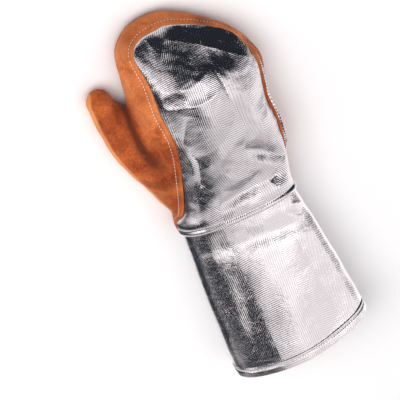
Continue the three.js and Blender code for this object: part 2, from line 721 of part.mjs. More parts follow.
function pieceMesh(name, solid, finish) {
  const { vertProperties, triVerts } = solid.getMesh();
  const geometry = new THREE.BufferGeometry();
  geometry.setAttribute('position', new THREE.BufferAttribute(vertProperties, 3));
  geometry.setIndex(new THREE.BufferAttribute(triVerts, 1));
  geometry.computeVertexNormals();
  const mesh = new THREE.Mesh(geometry, new THREE.MeshStandardMaterial(finishes[finish]));
  mesh.name = name;
  return mesh;
}

const mitten = new THREE.Group();
mitten.add(pieceMesh('hand_back', handBackSolid(), 'cloth'));
mitten.add(pieceMesh('thumb_side', thumbSideSolid(), 'leather'));
mitten.add(pieceMesh('tip_side', tipSideSolid(), 'leather'));
mitten.add(pieceMesh('palm', palmSolid(), 'leather'));
mitten.add(pieceMesh('palm_welt', weltSolid(), 'leather'));
mitten.add(pieceMesh('thumb_front', thumbHalfSolid(thumbFront, thumbFrontIn, seamGap), 'leather'));
mitten.add(pieceMesh('cuff', cuffSolid(), 'cloth'));

const box = new THREE.Box3().setFromObject(mitten);
mitten.position.set(-(box.min.x + box.max.x) / 2, -(box.min.y + box.max.y) / 2, -box.min.z);

const part = new THREE.Group();
part.add(mitten);

export default part;
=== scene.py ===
import math
from itertools import product

import bmesh
import bpy
import numpy as np
from mathutils import Matrix, Vector
from mathutils.bvhtree import BVHTree


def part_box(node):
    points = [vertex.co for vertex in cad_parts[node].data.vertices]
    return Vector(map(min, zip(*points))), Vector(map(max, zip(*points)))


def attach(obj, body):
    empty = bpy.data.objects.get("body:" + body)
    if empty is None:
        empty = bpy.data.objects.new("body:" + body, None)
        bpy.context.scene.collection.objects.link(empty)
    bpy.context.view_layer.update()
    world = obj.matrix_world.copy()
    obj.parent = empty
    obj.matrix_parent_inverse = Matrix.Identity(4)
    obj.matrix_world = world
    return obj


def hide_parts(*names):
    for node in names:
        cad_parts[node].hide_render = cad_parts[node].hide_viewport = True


# A right-hand welding gauntlet mitten of suede leather and aluminised twill, lying palm down.
# Shapes are worked out in mm. While they are, y = 0 is the wrist seam, x = 0 the middle of the
# cuff and z = 0 the surface that the mitten lies on; place() carries them into the frame.

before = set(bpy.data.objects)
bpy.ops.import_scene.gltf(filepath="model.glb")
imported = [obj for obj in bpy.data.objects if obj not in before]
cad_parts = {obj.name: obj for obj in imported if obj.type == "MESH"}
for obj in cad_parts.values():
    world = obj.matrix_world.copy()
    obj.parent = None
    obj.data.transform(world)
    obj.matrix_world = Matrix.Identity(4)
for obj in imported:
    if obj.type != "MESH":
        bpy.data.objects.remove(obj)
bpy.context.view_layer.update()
MM = 0.001

# Lengths along the mitten
HAND_LENGTH = 214
CUFF_LENGTH = 157
LAP_LENGTH = 12
HEM_BOW = 8
HEM_FOLD = 9

# Widths
HAND_WIDTH = 140
WRIST_WIDTH = 113
HEM_WIDTH = 137
THUMB_WIDTH = 31

# Heights
HAND_HEIGHT = 69
WRIST_HEIGHT = 53
HEM_HEIGHT = 62
THUMB_HEIGHT = 30
PALM_SEAM_HEIGHT = 7

# Walls and seams
CLOTH_WALL = 1.6
LEATHER_WALL = 2.2
LAP_GAP = 0.7
WELT_WALL = 1.6
WELT_REACH = 3
PALM_TUCK = 5

# Form of the sections
CUFF_SQUARENESS = 2.5
PRESSED = 0.93
WRIST_SKEW = 0.1
WRIST_BLEND = 45
FLARE = 1.5
BACK_FULLNESS = 2.4
PALM_FULLNESS = 6
PALM_DROP = 1.25
CREASE_START = 0.6

# Rows of the seams: two on the wrist tube, then the table's, then two on the wrist tube again
LAP_ROWS = 2
PANEL_ROWS = 18
FIRST_CORNER = 7
SECOND_CORNER = 12

# x is a share of HAND_WIDTH, y of HAND_LENGTH and z of HAND_HEIGHT: the seam of the back panel,
# then the line where the side strip is widest
HAND_EDGE = [
    (-0.353, 0.131, 0.50, -0.407, 0.131, 0.36),
    (-0.289, 0.271, 0.62, -0.411, 0.271, 0.375),
    (-0.226, 0.449, 0.70, -0.407, 0.449, 0.39),
    (-0.232, 0.617, 0.71, -0.364, 0.617, 0.41),
    (-0.211, 0.766, 0.68, -0.329, 0.766, 0.36),
    (-0.211, 0.902, 0.55, -0.282, 0.907, 0.26),
    (-0.129, 0.946, 0.45, -0.157, 0.984, 0.23),
    (0.000, 0.958, 0.435, 0.000, 1.000, 0.215),
    (0.143, 0.935, 0.42, 0.171, 0.965, 0.215),
    (0.357, 0.846, 0.42, 0.400, 0.841, 0.215),
    (0.493, 0.748, 0.435, 0.543, 0.715, 0.23),
    (0.550, 0.598, 0.465, 0.600, 0.579, 0.29),
    (0.496, 0.430, 0.52, 0.521, 0.430, 0.41),
    (0.493, 0.280, 0.52, 0.521, 0.280, 0.435),
    (0.450, 0.117, 0.45, 0.468, 0.117, 0.41),
]

# Height of the back along its middle: y, z
RIDGE = [
    (0.12, 0.81), (0.25, 0.88), (0.42, 0.97), (0.56, 1.00),
    (0.70, 0.91), (0.85, 0.69), (0.93, 0.53), (0.96, 0.43),
]

# Sections of the thumb: x, y, turn in degrees, half width, rise
THUMB_SECTIONS = [
    (-0.329, 0.276, 88.6, 1.32, 0.63),
    (-0.389, 0.325, 84.4, 1.15, 0.62),
    (-0.434, 0.388, 76.5, 0.86, 0.58),
    (-0.468, 0.458, 59.7, 0.67, 0.54),
    (-0.489, 0.537, 38.0, 0.575, 0.51),
    (-0.501, 0.640, 18.8, 0.50, 0.50),
    (-0.518, 0.731, 7.0, 0.39, 0.47),
]
THUMB_TIP = 0.5

# Broad folds: x, y, turn in degrees, length, width, depth, all shares; a ridge is negative
BACK_FOLDS = [
    (-0.13, 0.42, 82, 0.26, 0.11, 0.065),
    (0.27, 0.79, -41, 0.30, 0.09, -0.012),
    (0.13, 0.695, -14, 0.40, 0.18, -0.032),
    (0.30, 0.22, -47, 0.17, 0.10, 0.06),
    (0.34, 0.07, 0, 0.09, 0.14, 0.08),
    (0.02, 0.11, 8, 0.30, 0.13, 0.045),
    (0.24, 0.56, 10, 0.22, 0.30, -0.04),
]
PALM_FOLDS = [
    (0.13, 0.70, -6, 0.34, 0.09, 0.06),
    (0.02, 0.36, 24, 0.30, 0.10, 0.07),
]
CUFF_FOLDS = [
    (-0.28, -0.45, 84, 0.55, 0.07, 0.034),
    (0.02, -0.62, 80, 0.38, 0.12, -0.035),
    (0.10, -0.17, -12, 0.34, 0.06, 0.05),
    (0.24, -0.86, 70, 0.16, 0.10, 0.04),
    (0.36, -0.48, 86, 0.34, 0.07, 0.035),
]
HAND_UNITS = (HAND_WIDTH, HAND_LENGTH, HAND_WIDTH, HAND_HEIGHT, HAND_HEIGHT)
CUFF_UNITS = (HEM_WIDTH, CUFF_LENGTH, CUFF_LENGTH, CUFF_LENGTH, HEM_HEIGHT)

# Sharp creases in the cloth: points of the line in mm, width and depth in mm
BACK_CREASES = [
    ([(-11, 126), (-25, 97), (-20, 75), (-27, 48)], 5.0, 2.6),
    ([(25, 65), (42, 50), (60, 28)], 5.0, 2.4),
    ([(-3, 201), (24, 182), (43, 165), (75, 132)], 1.6, -0.8),
    ([(51, 24), (36, 18)], 4.5, 1.4),
    ([(-30, 160), (0, 150), (30, 155)], 5.0, -0.8),
    ([(-36, 143), (1, 132), (32, 133)], 12.0, -3.2),
    ([(-12, 36), (8, 30), (30, 34)], 4.0, 1.0),
]
SIDE_CREASES = [
    ([(-50, 58), (-52, 50), (-56, 20)], 2.2, 1.3),
    ([(-57, 96), (-65, 80), (-72, 64)], 6.0, -1.2),
]
CUFF_CREASES = [
    ([(36, -18), (52, -30)], 2.5, 1.2),
    ([(44, -14), (60, -24)], 2.5, -0.8),
]


def smooth(value, low, high):
    share = np.clip((value - low) / (high - low), 0, 1)
    return share * share * (3 - 2 * share)


def unit(vectors):
    return vectors / np.maximum(np.linalg.norm(vectors, axis=-1, keepdims=True), 1e-12)


def dot(a, b):
    return (a * b).sum(-1)


# A smooth line through points, read at row numbers that may be fractions
def curve_through(points):
    p = np.asarray(points, float)
    p = np.vstack([2 * p[0] - p[1], p, 2 * p[-1] - p[-2]])

    def at(rows):
        rows = np.clip(np.asarray(rows, float), 0, len(p) - 3)
        i = np.minimum(rows.astype(int), len(p) - 4)
        t = (rows - i)[..., None]
        a, b, c, d = p[i], p[i + 1], p[i + 2], p[i + 3]
        return b + 0.5 * ((c - a) * t + (2 * a - 5 * b + 4 * c - d) * t**2
                          + (3 * b - a - 3 * c + d) * t**3)
    return at


def rounded(share, exponent):
    return np.maximum(1 - np.abs(share) ** exponent, 0) ** (1 / exponent)


# Half width, half height and middle of the wrist and cuff tube at a station
def tube_section(station):
    down = np.clip(-np.asarray(station, float) / CUFF_LENGTH, 0, 1)
    eased = 1 - (1 - down) ** FLARE
    half_height = (WRIST_HEIGHT + (HEM_HEIGHT - WRIST_HEIGHT) * eased) / (1 + PRESSED)
    half_width = (WRIST_WIDTH + (HEM_WIDTH - WRIST_WIDTH) * eased) / 2
    return half_width, half_height, half_height * PRESSED


HAND_GROW = LEATHER_WALL + LAP_GAP
TUBE_WIDTH, TUBE_HEIGHT, TUBE_MIDDLE = tube_section(0) + np.array([HAND_GROW, HAND_GROW, 0])


def wrist_point(side, height, station):
    x = side * TUBE_WIDTH * rounded((height - TUBE_MIDDLE) / TUBE_HEIGHT, CUFF_SQUARENESS)
    return np.stack(np.broadcast_arrays(x, station - WRIST_SKEW * x, height), -1)


def seam_rows(height, edge):
    start = [wrist_point(-1, height, station) for station in (0, LAP_LENGTH)]
    end = [wrist_point(1, height, station) for station in (LAP_LENGTH, 0)]
    return np.vstack([start, edge * (HAND_WIDTH, HAND_LENGTH, HAND_HEIGHT), end])


EDGE = np.array(HAND_EDGE)
SIDE_ROWS = seam_rows((TUBE_MIDDLE + PALM_SEAM_HEIGHT) / 2, EDGE[:, 3:])
LAST_ROW = len(SIDE_ROWS) - 1
back_seam = curve_through(seam_rows(TUBE_MIDDLE, EDGE[:, :3]))
side_line = curve_through(SIDE_ROWS)


def palm_rows():
    rows = []
    for index, point in enumerate(SIDE_ROWS):
        if LAP_ROWS <= index <= LAST_ROW - LAP_ROWS:
            step = SIDE_ROWS[index + 1] - SIDE_ROWS[index - 1]
            inward = unit(np.array([step[1], -step[0], 0]))
            rows.append((point + inward * PALM_TUCK) * (1, 1, 0) + (0, 0, PALM_SEAM_HEIGHT))
        else:
            station = point[1] + WRIST_SKEW * point[0]
            rows.append(wrist_point(np.sign(point[0]), PALM_SEAM_HEIGHT, station))
    return rows


palm_seam = curve_through(palm_rows())


# Panel rows to rows of the seam on the thumb's side, on the other side and over the tips
def left_stop(rows):
    return np.where(rows < 1, rows, 1 + (rows - 1) * (FIRST_CORNER - 1) / (PANEL_ROWS - 1))


def right_stop(rows):
    beyond = (rows - 1) * (LAST_ROW - 1 - SECOND_CORNER) / (PANEL_ROWS - 1)
    return LAST_ROW - np.where(rows < 1, rows, 1 + beyond)


def tip_stop(columns):
    return FIRST_CORNER + columns * (SECOND_CORNER - FIRST_CORNER)


def row_shares(rows, columns):
    freedom = smooth(rows, LAP_ROWS - 1, PANEL_ROWS / 2)[:, None]
    wrist = (1 - np.cos(columns * math.pi)) / 2
    return wrist + (columns - wrist) * freedom


# Plan of a four-sided panel between the left, right and far stretches of a seam
def panel_plan(seam, rows, columns):
    share = row_shares(rows, columns)[..., None]
    along = (rows / PANEL_ROWS)[:, None, None]
    left = seam(left_stop(rows))[:, None]
    right = seam(right_stop(rows))[:, None]
    ends = seam(FIRST_CORNER) * (1 - share) + seam(SECOND_CORNER) * share
    far = seam(tip_stop(columns))[None]
    return left * (1 - share) + right * share + along * (far - ends)


def ridge_height(y):
    points = [(LAP_LENGTH, TUBE_MIDDLE + TUBE_HEIGHT)]
    points += [(a * HAND_LENGTH, b * HAND_HEIGHT) for a, b in RIDGE]
    ys, zs = np.array(points).T
    before = np.maximum(np.arange(len(ys)) - 1, 0)
    after = np.minimum(np.arange(len(ys)) + 1, len(ys) - 1)
    slopes = (zs[after] - zs[before]) / (ys[after] - ys[before])
    i = np.clip(np.searchsorted(ys, y, side="right") - 1, 0, len(ys) - 2)
    gap = ys[i + 1] - ys[i]
    share = np.clip((y - ys[i]) / gap, 0, 1)
    bend = (1 - share) * slopes[i] - share * slopes[i + 1]
    return zs[i] + (zs[i + 1] - zs[i]) * smooth(share, 0, 1) + share * (1 - share) * bend * gap


def fold_depth(folds, units, points):
    x_unit, y_unit, length_unit, width_unit, depth_unit = units
    depth = np.zeros(points.shape[:-1])
    for x, y, turn, length, width, deep in folds:
        c, s = math.cos(math.radians(turn)), math.sin(math.radians(turn))
        dx = points[..., 0] - x * x_unit
        dy = points[..., 1] - y * y_unit
        far = (dx * c + dy * s) / (length * length_unit)
        near = (dy * c - dx * s) / (width * width_unit)
        depth += deep * depth_unit * np.exp(-far * far - near * near)
    return depth


# Depth of sharp creases: each falls off evenly from its line, and fades at its ends
def crease_depth(creases, points):
    depth = np.zeros(points.shape[:-1])
    for line, width, deep in creases:
        line = curve_through(line)(np.linspace(0, len(line) - 1, 60))
        gaps = np.hypot(points[..., None, 0] - line[:, 0], points[..., None, 1] - line[:, 1])
        nearest = gaps.argmin(-1) / (len(line) - 1)
        fade = np.sqrt(np.clip(4 * nearest * (1 - nearest), 0, 1))
        depth += deep * fade * np.exp(-gaps.min(-1) / width)
    return depth


# Smooth noise from about -1 to 1 that changes over size mm
def noise(points, size, seed):
    cells = 32
    table = unit(np.random.default_rng(seed).normal(size=(cells, cells, cells, 3)))
    place = points / size
    cell = np.floor(place).astype(int)
    part = place - cell
    fade = part**3 * (part * (part * 6 - 15) + 10)
    total = np.zeros(points.shape[:-1])
    for corner in product((0, 1), repeat=3):
        index = (cell + corner) % cells
        slope = table[index[..., 0], index[..., 1], index[..., 2]]
        weight = np.where(corner, fade, 1 - fade).prod(-1)
        total += weight * dot(slope, part - corner)
    return total * 1.7


# Creased noise: even slopes that meet in sharp folds, stronger here and weaker there
def crumple(points, size, seed, layers=4):
    rng = np.random.default_rng(seed)
    total = np.zeros(points.shape[:-1])
    for layer in range(layers):
        direction = unit(rng.normal(size=3) * (1, 1, 0.4))
        bent = noise(points, 1.9 * size, seed + layer + 1) * 0.8
        phase = points @ direction / size + rng.uniform() + bent
        fold = np.abs(phase % 1 - 0.5) * 2 - 0.5
        strength = smooth(noise(points, 2.6 * size, seed + layer + 20), -0.25, 0.5)
        total += fold * strength
    return total * size


# Distances along the lines of a grid, from its first row or column
def arc(grid, axis):
    steps = np.linalg.norm(np.diff(grid, axis=axis), axis=-1)
    start = np.zeros_like(np.take(steps, [0], axis=axis))
    return np.concatenate([start, np.cumsum(steps, axis=axis)], axis=axis)


def normals_of(grid, outward, closed=False):
    if closed:
        across = np.roll(grid, -1, 1) - np.roll(grid, 1, 1)
    else:
        across = np.gradient(grid, axis=1)
    return outward * unit(np.cross(across, np.gradient(grid, axis=0)))


def moved(grid, amount, outward, closed=False):
    return grid + normals_of(grid, outward, closed) * amount[..., None]


# Surfaces of the hand

def back_base(rows, columns):
    plan = panel_plan(back_seam, rows, columns)
    middle = panel_plan(back_seam, rows, np.array([0.5]))[:, 0]
    crown = (ridge_height(middle[:, 1]) - middle[:, 2])[:, None]
    crown *= smooth(PANEL_ROWS - rows, 0, 0.05)[:, None]
    off_centre = 2 * row_shares(rows, columns) - 1
    freedom = smooth(plan[..., 1], LAP_LENGTH, LAP_LENGTH + WRIST_BLEND)
    tube = rounded(off_centre, CUFF_SQUARENESS)
    pillow = 1 - np.abs(off_centre) ** BACK_FULLNESS
    folding = pillow * np.clip(middle[:, 1] / LAP_LENGTH - 1, 0, 1)[:, None]
    plan[..., 2] += crown * (tube + (pillow - tube) * freedom)
    plan[..., 2] -= fold_depth(BACK_FOLDS, HAND_UNITS, plan) * folding
    return plan


def palm_base(rows, columns):
    plan = panel_plan(palm_seam, rows, columns)
    seam_share = wrist_point(1, PALM_SEAM_HEIGHT, 0)[0] / TUBE_WIDTH
    off_centre = 2 * row_shares(rows, columns) - 1
    freedom = smooth(plan[..., 1], LAP_LENGTH, LAP_LENGTH + WRIST_BLEND)
    tube = TUBE_MIDDLE - TUBE_HEIGHT * rounded(off_centre * seam_share, CUFF_SQUARENESS)
    at_tip = ((PANEL_ROWS - rows) / PANEL_ROWS)[:, None]
    edge = (1 - np.abs(off_centre) ** PALM_FULLNESS) * (1 - (1 - at_tip) ** PALM_FULLNESS)
    creases = np.maximum(fold_depth(PALM_FOLDS, HAND_UNITS, plan) - CREASE_START, 0)
    low = np.maximum(PALM_SEAM_HEIGHT * (1 - PALM_DROP * edge), creases * edge)
    tube = np.maximum(tube, 0)
    plan[..., 2] = np.maximum(tube + (low - tube) * freedom, 0)
    return plan


def side_base(shares, stops):
    share = shares[:, None, None]
    back, side, palm = (seam(stops)[None] for seam in (back_seam, side_line, palm_seam))
    straight = back * (1 - share) + palm * share
    pull = (side - (back + palm) / 2) * 4 * share * (1 - share)
    top, foot = TUBE_MIDDLE, PALM_SEAM_HEIGHT
    sign = np.sign(back[..., 0])
    height = (top + (foot - top) * share)[..., 0]
    ends = wrist_point(sign, top, 0) * (1 - share) + wrist_point(sign, foot, 0) * share
    tube = wrist_point(sign, height, 0) - ends
    freedom = smooth(back[..., 1], LAP_LENGTH, LAP_LENGTH + WRIST_BLEND)[..., None]
    return straight + tube * (1 - freedom) + pull * freedom


THUMB_FRAME = np.array(THUMB_SECTIONS)


def thumb_base(up, rows, columns, tip_angles):
    turn = np.radians(THUMB_FRAME[:, 2])
    middle = np.column_stack([THUMB_FRAME[:, 0] * HAND_WIDTH, THUMB_FRAME[:, 1] * HAND_LENGTH])
    outwards = -np.column_stack([np.cos(turn), np.sin(turn)])
    half = THUMB_FRAME[:, 3:4] * THUMB_WIDTH
    rise = THUMB_FRAME[:, 4:5] * THUMB_HEIGHT
    edges = [curve_through(np.hstack([middle + side * outwards * half, PRESSED * rise]))
             for side in (1, -1)]
    share = ((1 - np.cos(columns * math.pi)) / 2)[None, :, None]
    left, right = (edge(rows)[:, None] for edge in edges)
    body = left * (1 - share) + right * share
    lift = curve_through(np.repeat(rise, 3, 1))(rows)[:, :1]
    body[..., 2] += up * lift * np.sqrt(np.maximum(1 - (2 * share[..., 0] - 1) ** 2, 0))
    # A half square laid over a half disc, so that its rows end on the round edge
    far = np.sin(tip_angles)[:, None]
    aside = (2 * share[0, :, 0] - 1) * np.sqrt(1 - far**2 / 2)
    ahead = far * np.sqrt(1 - (2 * share[0, :, 0] - 1) ** 2 / 2)
    side_way = outwards[-1]
    forward = np.array([side_way[1], -side_way[0]])
    tip = np.zeros(aside.shape + (3,))
    tip[..., :2] = (middle[-1] - aside[..., None] * side_way * half[-1]
                    + ahead[..., None] * forward * THUMB_TIP * THUMB_WIDTH)
    dome = np.sqrt(np.maximum(1 - aside**2 - ahead**2, 0))
    tip[..., 2] = rise[-1] * (PRESSED + up * dome)
    grid = np.concatenate([body, tip])
    grid[..., 2] = np.maximum(grid[..., 2], 0)
    return grid


# Closed bodies as trees of faces, for distances to them

def grid_faces(rows, columns, closed=False):
    wide = columns if closed else columns - 1
    row, column = np.meshgrid(np.arange(rows - 1), np.arange(wide), indexing="ij")
    beside = (column + 1) % columns
    corners = [row * columns + column, row * columns + beside,
               (row + 1) * columns + beside, (row + 1) * columns + column]
    return np.stack(corners, -1).reshape(-1, 4)


def tree_of(grids):
    points, faces, count = [], [], 0
    for grid, outward in grids:
        quads = grid_faces(*grid.shape[:2]) + count
        points.append(grid.reshape(-1, 3))
        faces.append(quads if outward > 0 else quads[:, ::-1])
        count += len(points[-1])
    return BVHTree.FromPolygons(np.vstack(points).tolist(), np.vstack(faces).tolist())


def distance_to(tree, points):
    values = np.empty(len(points))
    slopes = np.empty((len(points), 3))
    for index, point in enumerate(points):
        near, normal, _, gap = tree.find_nearest(Vector(point))
        away = Vector(point) - near
        side = 1 if away.dot(normal) >= 0 else -1
        values[index] = side * gap
        slopes[index] = normal if gap < 1e-3 else side * away.normalized()
    return values, slopes


# Carries points onto the smooth union of two bodies; returns by how much the second is nearer.
def onto_union(points, first, second, blend, rounds=5):
    places = points.copy()
    for step in range(rounds + 1):
        a, slope_a = distance_to(first, places)
        b, slope_b = distance_to(second, places)
        if step == rounds:
            return places, a - b
        reach = np.maximum(blend - np.abs(a - b), 0) / blend
        value = np.minimum(a, b) - reach**2 * blend / 4
        weight = np.where(a < b, 1 - reach / 2, reach / 2)[:, None]
        slope = slope_a * weight + slope_b * (1 - weight)
        step_size = np.clip(value / np.maximum(dot(slope, slope), 0.2), -4, 4)
        places -= slope * step_size[:, None]


# Moves a grid onto the union near the other body, and says where the other body has the surface.
def merge_into(grid, own, other, blend, drop=0.7, flap=3.0):
    flat = grid.reshape(-1, 3).copy()
    gap, _ = distance_to(other, flat)
    near = (gap < blend) & (gap > -6 * flap)
    beyond = np.where(gap <= -6 * flap, 6 * flap, -blend)
    places, lead = onto_union(flat[near], own, other, blend)
    flat[near] = places
    beyond[near] = lead
    merged = flat.reshape(grid.shape)
    beyond = beyond.reshape(grid.shape[:2])
    return merged, beyond, np.minimum(drop, 0.35 * np.maximum(beyond, 0)), beyond > flap


# Meshes

class Shell:
    """Walls made of grids, gathered into one mesh."""

    def __init__(self):
        self.points, self.faces, self.slots, self.wear, self.weave = [], [], [], [], []
        self.count = 0

    def add(self, grid, thickness, outward, closed=False, removed=None, wear=None, weave=None,
            inner_slot=0, rounding=4):
        shape = grid.shape[:2]
        normals = normals_of(grid, outward, closed)
        wear = np.zeros(shape) if wear is None else wear
        weave = grid[..., :2] if weave is None else weave
        thickness = np.broadcast_to(thickness, shape)[..., None]
        kept = np.ones((shape[0] - 1, shape[1] - (0 if closed else 1)), bool)
        if removed is not None:
            gone = removed[:-1, :-1] & removed[1:, :-1] & removed[:-1, 1:] & removed[1:, 1:]
            kept &= ~gone
        full = np.ones(shape)[..., None]
        angles = np.linspace(0, math.pi / 2, rounding + 1)[1:]
        fields = [grid, normals, thickness, full, wear[..., None], weave]
        axes = (0,) if closed else (0, 1)
        for axis in axes:
            for end in (0, -1):
                fields, kept = self._round(fields, kept, axis, end, angles)
        grid, normals, thickness, full, wear, weave = fields
        outer = grid - normals * thickness * (1 - full) / 2
        inner = grid - normals * thickness * (1 + full) / 2
        self._close(outer, inner, kept, closed, inner_slot, wear, weave, outward)

    @staticmethod
    def _round(fields, kept, axis, end, angles):
        grid, normals = fields[0], fields[1]
        edge = np.take(grid, end, axis=axis)
        nearby = np.take(grid, 1 if end == 0 else -2, axis=axis)
        normal = np.take(normals, end, axis=axis)
        away = edge - nearby
        away = unit(away - normal * dot(away, normal)[..., None])
        half = np.take(fields[2], end, axis=axis) / 2
        extra = [[] for _ in fields]
        for angle in angles:
            for index, field in enumerate(fields):
                value = np.take(field, end, axis=axis)
                if index == 0:
                    value = value + away * half * math.sin(angle)
                elif index == 3:
                    value = value * math.cos(angle)
                extra[index].append(value)
        joined = []
        for field, rows in zip(fields, extra):
            added = np.stack(rows[::-1] if end == 0 else rows, axis=axis)
            pair = [added, field] if end == 0 else [field, added]
            joined.append(np.concatenate(pair, axis=axis))
        line = np.take(kept, [end], axis=axis)
        more = np.repeat(line, len(angles), axis=axis)
        pair = [more, kept] if end == 0 else [kept, more]
        return joined, np.concatenate(pair, axis=axis)

    def _close(self, outer, inner, kept, closed, inner_slot, wear, weave, outward):
        rows, columns = outer.shape[:2]
        half = rows * columns
        quads = grid_faces(rows, columns, closed).reshape(kept.shape + (4,))
        top = quads[kept]
        under = top[:, ::-1] + half
        faces = [top, under]
        slots = [np.zeros(len(top), int), np.full(len(under), inner_slot)]
        # Rims where a part of the wall is left out
        for axis, (start, stop) in ((0, (3, 2)), (1, (2, 1))):
            one = np.take(kept, range(kept.shape[axis] - 1), axis=axis)
            two = np.take(kept, range(1, kept.shape[axis]), axis=axis)
            cells = np.take(quads, range(kept.shape[axis] - 1), axis=axis)
            for mask, flip in ((one & ~two, False), (two & ~one, True)):
                line = cells[mask][:, [start, stop]]
                rim = np.column_stack([line[:, 0], line[:, 1], line[:, 1] + half, line[:, 0] + half])
                faces.append(rim[:, ::-1] if flip else rim)
                slots.append(np.zeros(len(rim), int))
        faces = np.vstack(faces)
        faces = faces if outward > 0 else faces[:, ::-1]
        self.points += [outer.reshape(-1, 3), inner.reshape(-1, 3)]
        self.faces.append(faces + self.count)
        self.slots.append(np.concatenate(slots))
        self.wear += [wear.ravel()] * 2
        self.weave += [weave.reshape(-1, 2)] * 2
        self.count += 2 * half

    def build(self, name, node, materials):
        points = np.vstack(self.points)
        points[:, 2] = np.maximum(points[:, 2], 0)
        return piece(name, node, materials, points, np.vstack(self.faces),
                     np.concatenate(self.slots), np.concatenate(self.wear), np.vstack(self.weave))


SHIFT = np.array([
    (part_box("cuff")[0].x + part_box("cuff")[1].x) / 2 / MM,
    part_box("cuff")[0].y / MM + CUFF_LENGTH,
    0,
])


def place(points):
    return (points + SHIFT) * MM


def piece(name, node, materials, points, faces, slots=None, wear=None, weave=None):
    mesh = bpy.data.meshes.new(name)
    mesh.from_pydata(place(points).tolist(), [], faces.tolist())
    for material in materials:
        mesh.materials.append(material)
    if slots is not None:
        mesh.polygons.foreach_set("material_index", slots)
    if wear is not None:
        attribute = mesh.attributes.new("wear", "FLOAT", "POINT")
        attribute.data.foreach_set("value", wear.astype(np.float32))
    if weave is not None:
        corners = np.empty(len(mesh.loops), int)
        mesh.loops.foreach_get("vertex_index", corners)
        layer = mesh.uv_layers.new(name="weave")
        layer.data.foreach_set("uv", (weave[corners] * MM).astype(np.float32).ravel())
    mesh.polygons.foreach_set("use_smooth", np.ones(len(mesh.polygons), bool))
    tidy_mesh(mesh)
    made = bpy.data.objects.new(name, mesh)
    bpy.context.scene.collection.objects.link(made)
    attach(made, "root")
    if node:
        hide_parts(node)
    return made


# Joins the points where the two sides of a rounded edge meet, and drops loose ones
def tidy_mesh(mesh):
    work = bmesh.new()
    work.from_mesh(mesh)
    bmesh.ops.remove_doubles(work, verts=work.verts, dist=2e-6)
    loose = [vertex for vertex in work.verts if not vertex.link_faces]
    bmesh.ops.delete(work, geom=loose, context="VERTS")
    work.to_mesh(mesh)
    work.free()
    mesh.update()


# Stitches: short bowed threads laid along a line on a surface
def stitches(name, material, lines, pitch=3.3, length=2.1, radius=0.36, sunk=0.9):
    sides, rings = 7, 7
    points, faces, count = [], [], 0
    for line, normals in lines:
        run = arc(line, 0)
        total = run[-1]
        starts = np.arange(pitch / 2, total - pitch / 2, pitch)
        share = np.linspace(0, 1, rings)
        at = starts[:, None] + (share - 0.5) * length

        def read(values):
            return np.stack([np.interp(at, run, values[:, k]) for k in range(3)], -1)

        centre, normal = read(line), unit(read(normals))
        tangent = unit(np.gradient(centre, axis=1))
        aside = np.cross(tangent, normal)
        bow = np.sin(share * math.pi)
        centre = centre + normal * (radius * (1.5 * bow - sunk))[None, :, None]
        fat = radius * (0.55 + 0.45 * np.sqrt(bow))
        angle = np.linspace(0, 2 * math.pi, sides, endpoint=False)
        ring = (np.cos(angle)[:, None] * normal[..., None, :] + np.sin(angle)[:, None] * aside[..., None, :])
        thread = centre[..., None, :] + ring * fat[None, :, None, None]
        tube = grid_faces(rings, sides, closed=True)
        per = rings * sides
        many = tube[None] + (np.arange(len(starts)) * per)[:, None, None]
        points.append(thread.reshape(-1, 3))
        faces.append(many.reshape(-1, 4) + count)
        count += len(points[-1])
    points, faces = np.vstack(points), np.vstack(faces)
    points[:, 2] = np.maximum(points[:, 2], 0)
    caps = []
    for start in range(0, count, rings * sides):
        caps.append(list(range(start, start + sides))[::-1])
        caps.append(list(range(start + (rings - 1) * sides, start + rings * sides)))
    mesh = bpy.data.meshes.new(name)
    mesh.from_pydata(place(points).tolist(), [], faces[:, ::-1].tolist() + [cap[::-1] for cap in caps])
    mesh.materials.append(material)
    mesh.polygons.foreach_set("use_smooth", np.ones(len(mesh.polygons), bool))
    made = bpy.data.objects.new(name, mesh)
    bpy.context.scene.collection.objects.link(made)
    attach(made, "root")
    return made


# Materials

def new_material(name):
    material = bpy.data.materials.new(name)
    material.use_nodes = True
    nodes = material.node_tree.nodes
    return material, nodes, material.node_tree.links, nodes["Principled BSDF"]


def math_node(nodes, links, operation, first, second=None, third=None):
    node = nodes.new("ShaderNodeMath")
    node.operation = operation
    for index, value in enumerate((first, second, third)):
        if value is None:
            continue
        if isinstance(value, (int, float)):
            node.inputs[index].default_value = value
        else:
            links.new(value, node.inputs[index])
    return node.outputs[0]


def noise_node(nodes, links, vector, scale, detail=4.0, rough=0.55, distortion=0.0):
    node = nodes.new("ShaderNodeTexNoise")
    node.inputs["Scale"].default_value = scale
    node.inputs["Detail"].default_value = detail
    node.inputs["Roughness"].default_value = rough
    node.inputs["Distortion"].default_value = distortion
    links.new(vector, node.inputs["Vector"])
    return node.outputs["Fac"]


def ramp_node(nodes, links, factor, stops):
    node = nodes.new("ShaderNodeValToRGB")
    ramp = node.color_ramp
    while len(ramp.elements) < len(stops):
        ramp.elements.new(0.5)
    for element, (position, colour) in zip(ramp.elements, stops):
        element.position = position
        element.color = (*colour, 1)
    links.new(factor, node.inputs["Fac"])
    return node.outputs["Color"]


def mix_colour(nodes, links, factor, first, second, blend="MIX"):
    node = nodes.new("ShaderNodeMix")
    node.data_type = "RGBA"
    node.blend_type = blend
    for socket, value in ((node.inputs[0], factor), (node.inputs[6], first), (node.inputs[7], second)):
        if isinstance(value, (int, float)):
            socket.default_value = value
        elif isinstance(value, tuple):
            socket.default_value = (*value, 1)
        else:
            links.new(value, socket)
    return node.outputs[2]


def bump_node(nodes, links, height, strength, distance, normal=None):
    node = nodes.new("ShaderNodeBump")
    node.inputs["Strength"].default_value = strength
    node.inputs["Distance"].default_value = distance
    links.new(height, node.inputs["Height"])
    if normal is not None:
        links.new(normal, node.inputs["Normal"])
    return node.outputs["Normal"]


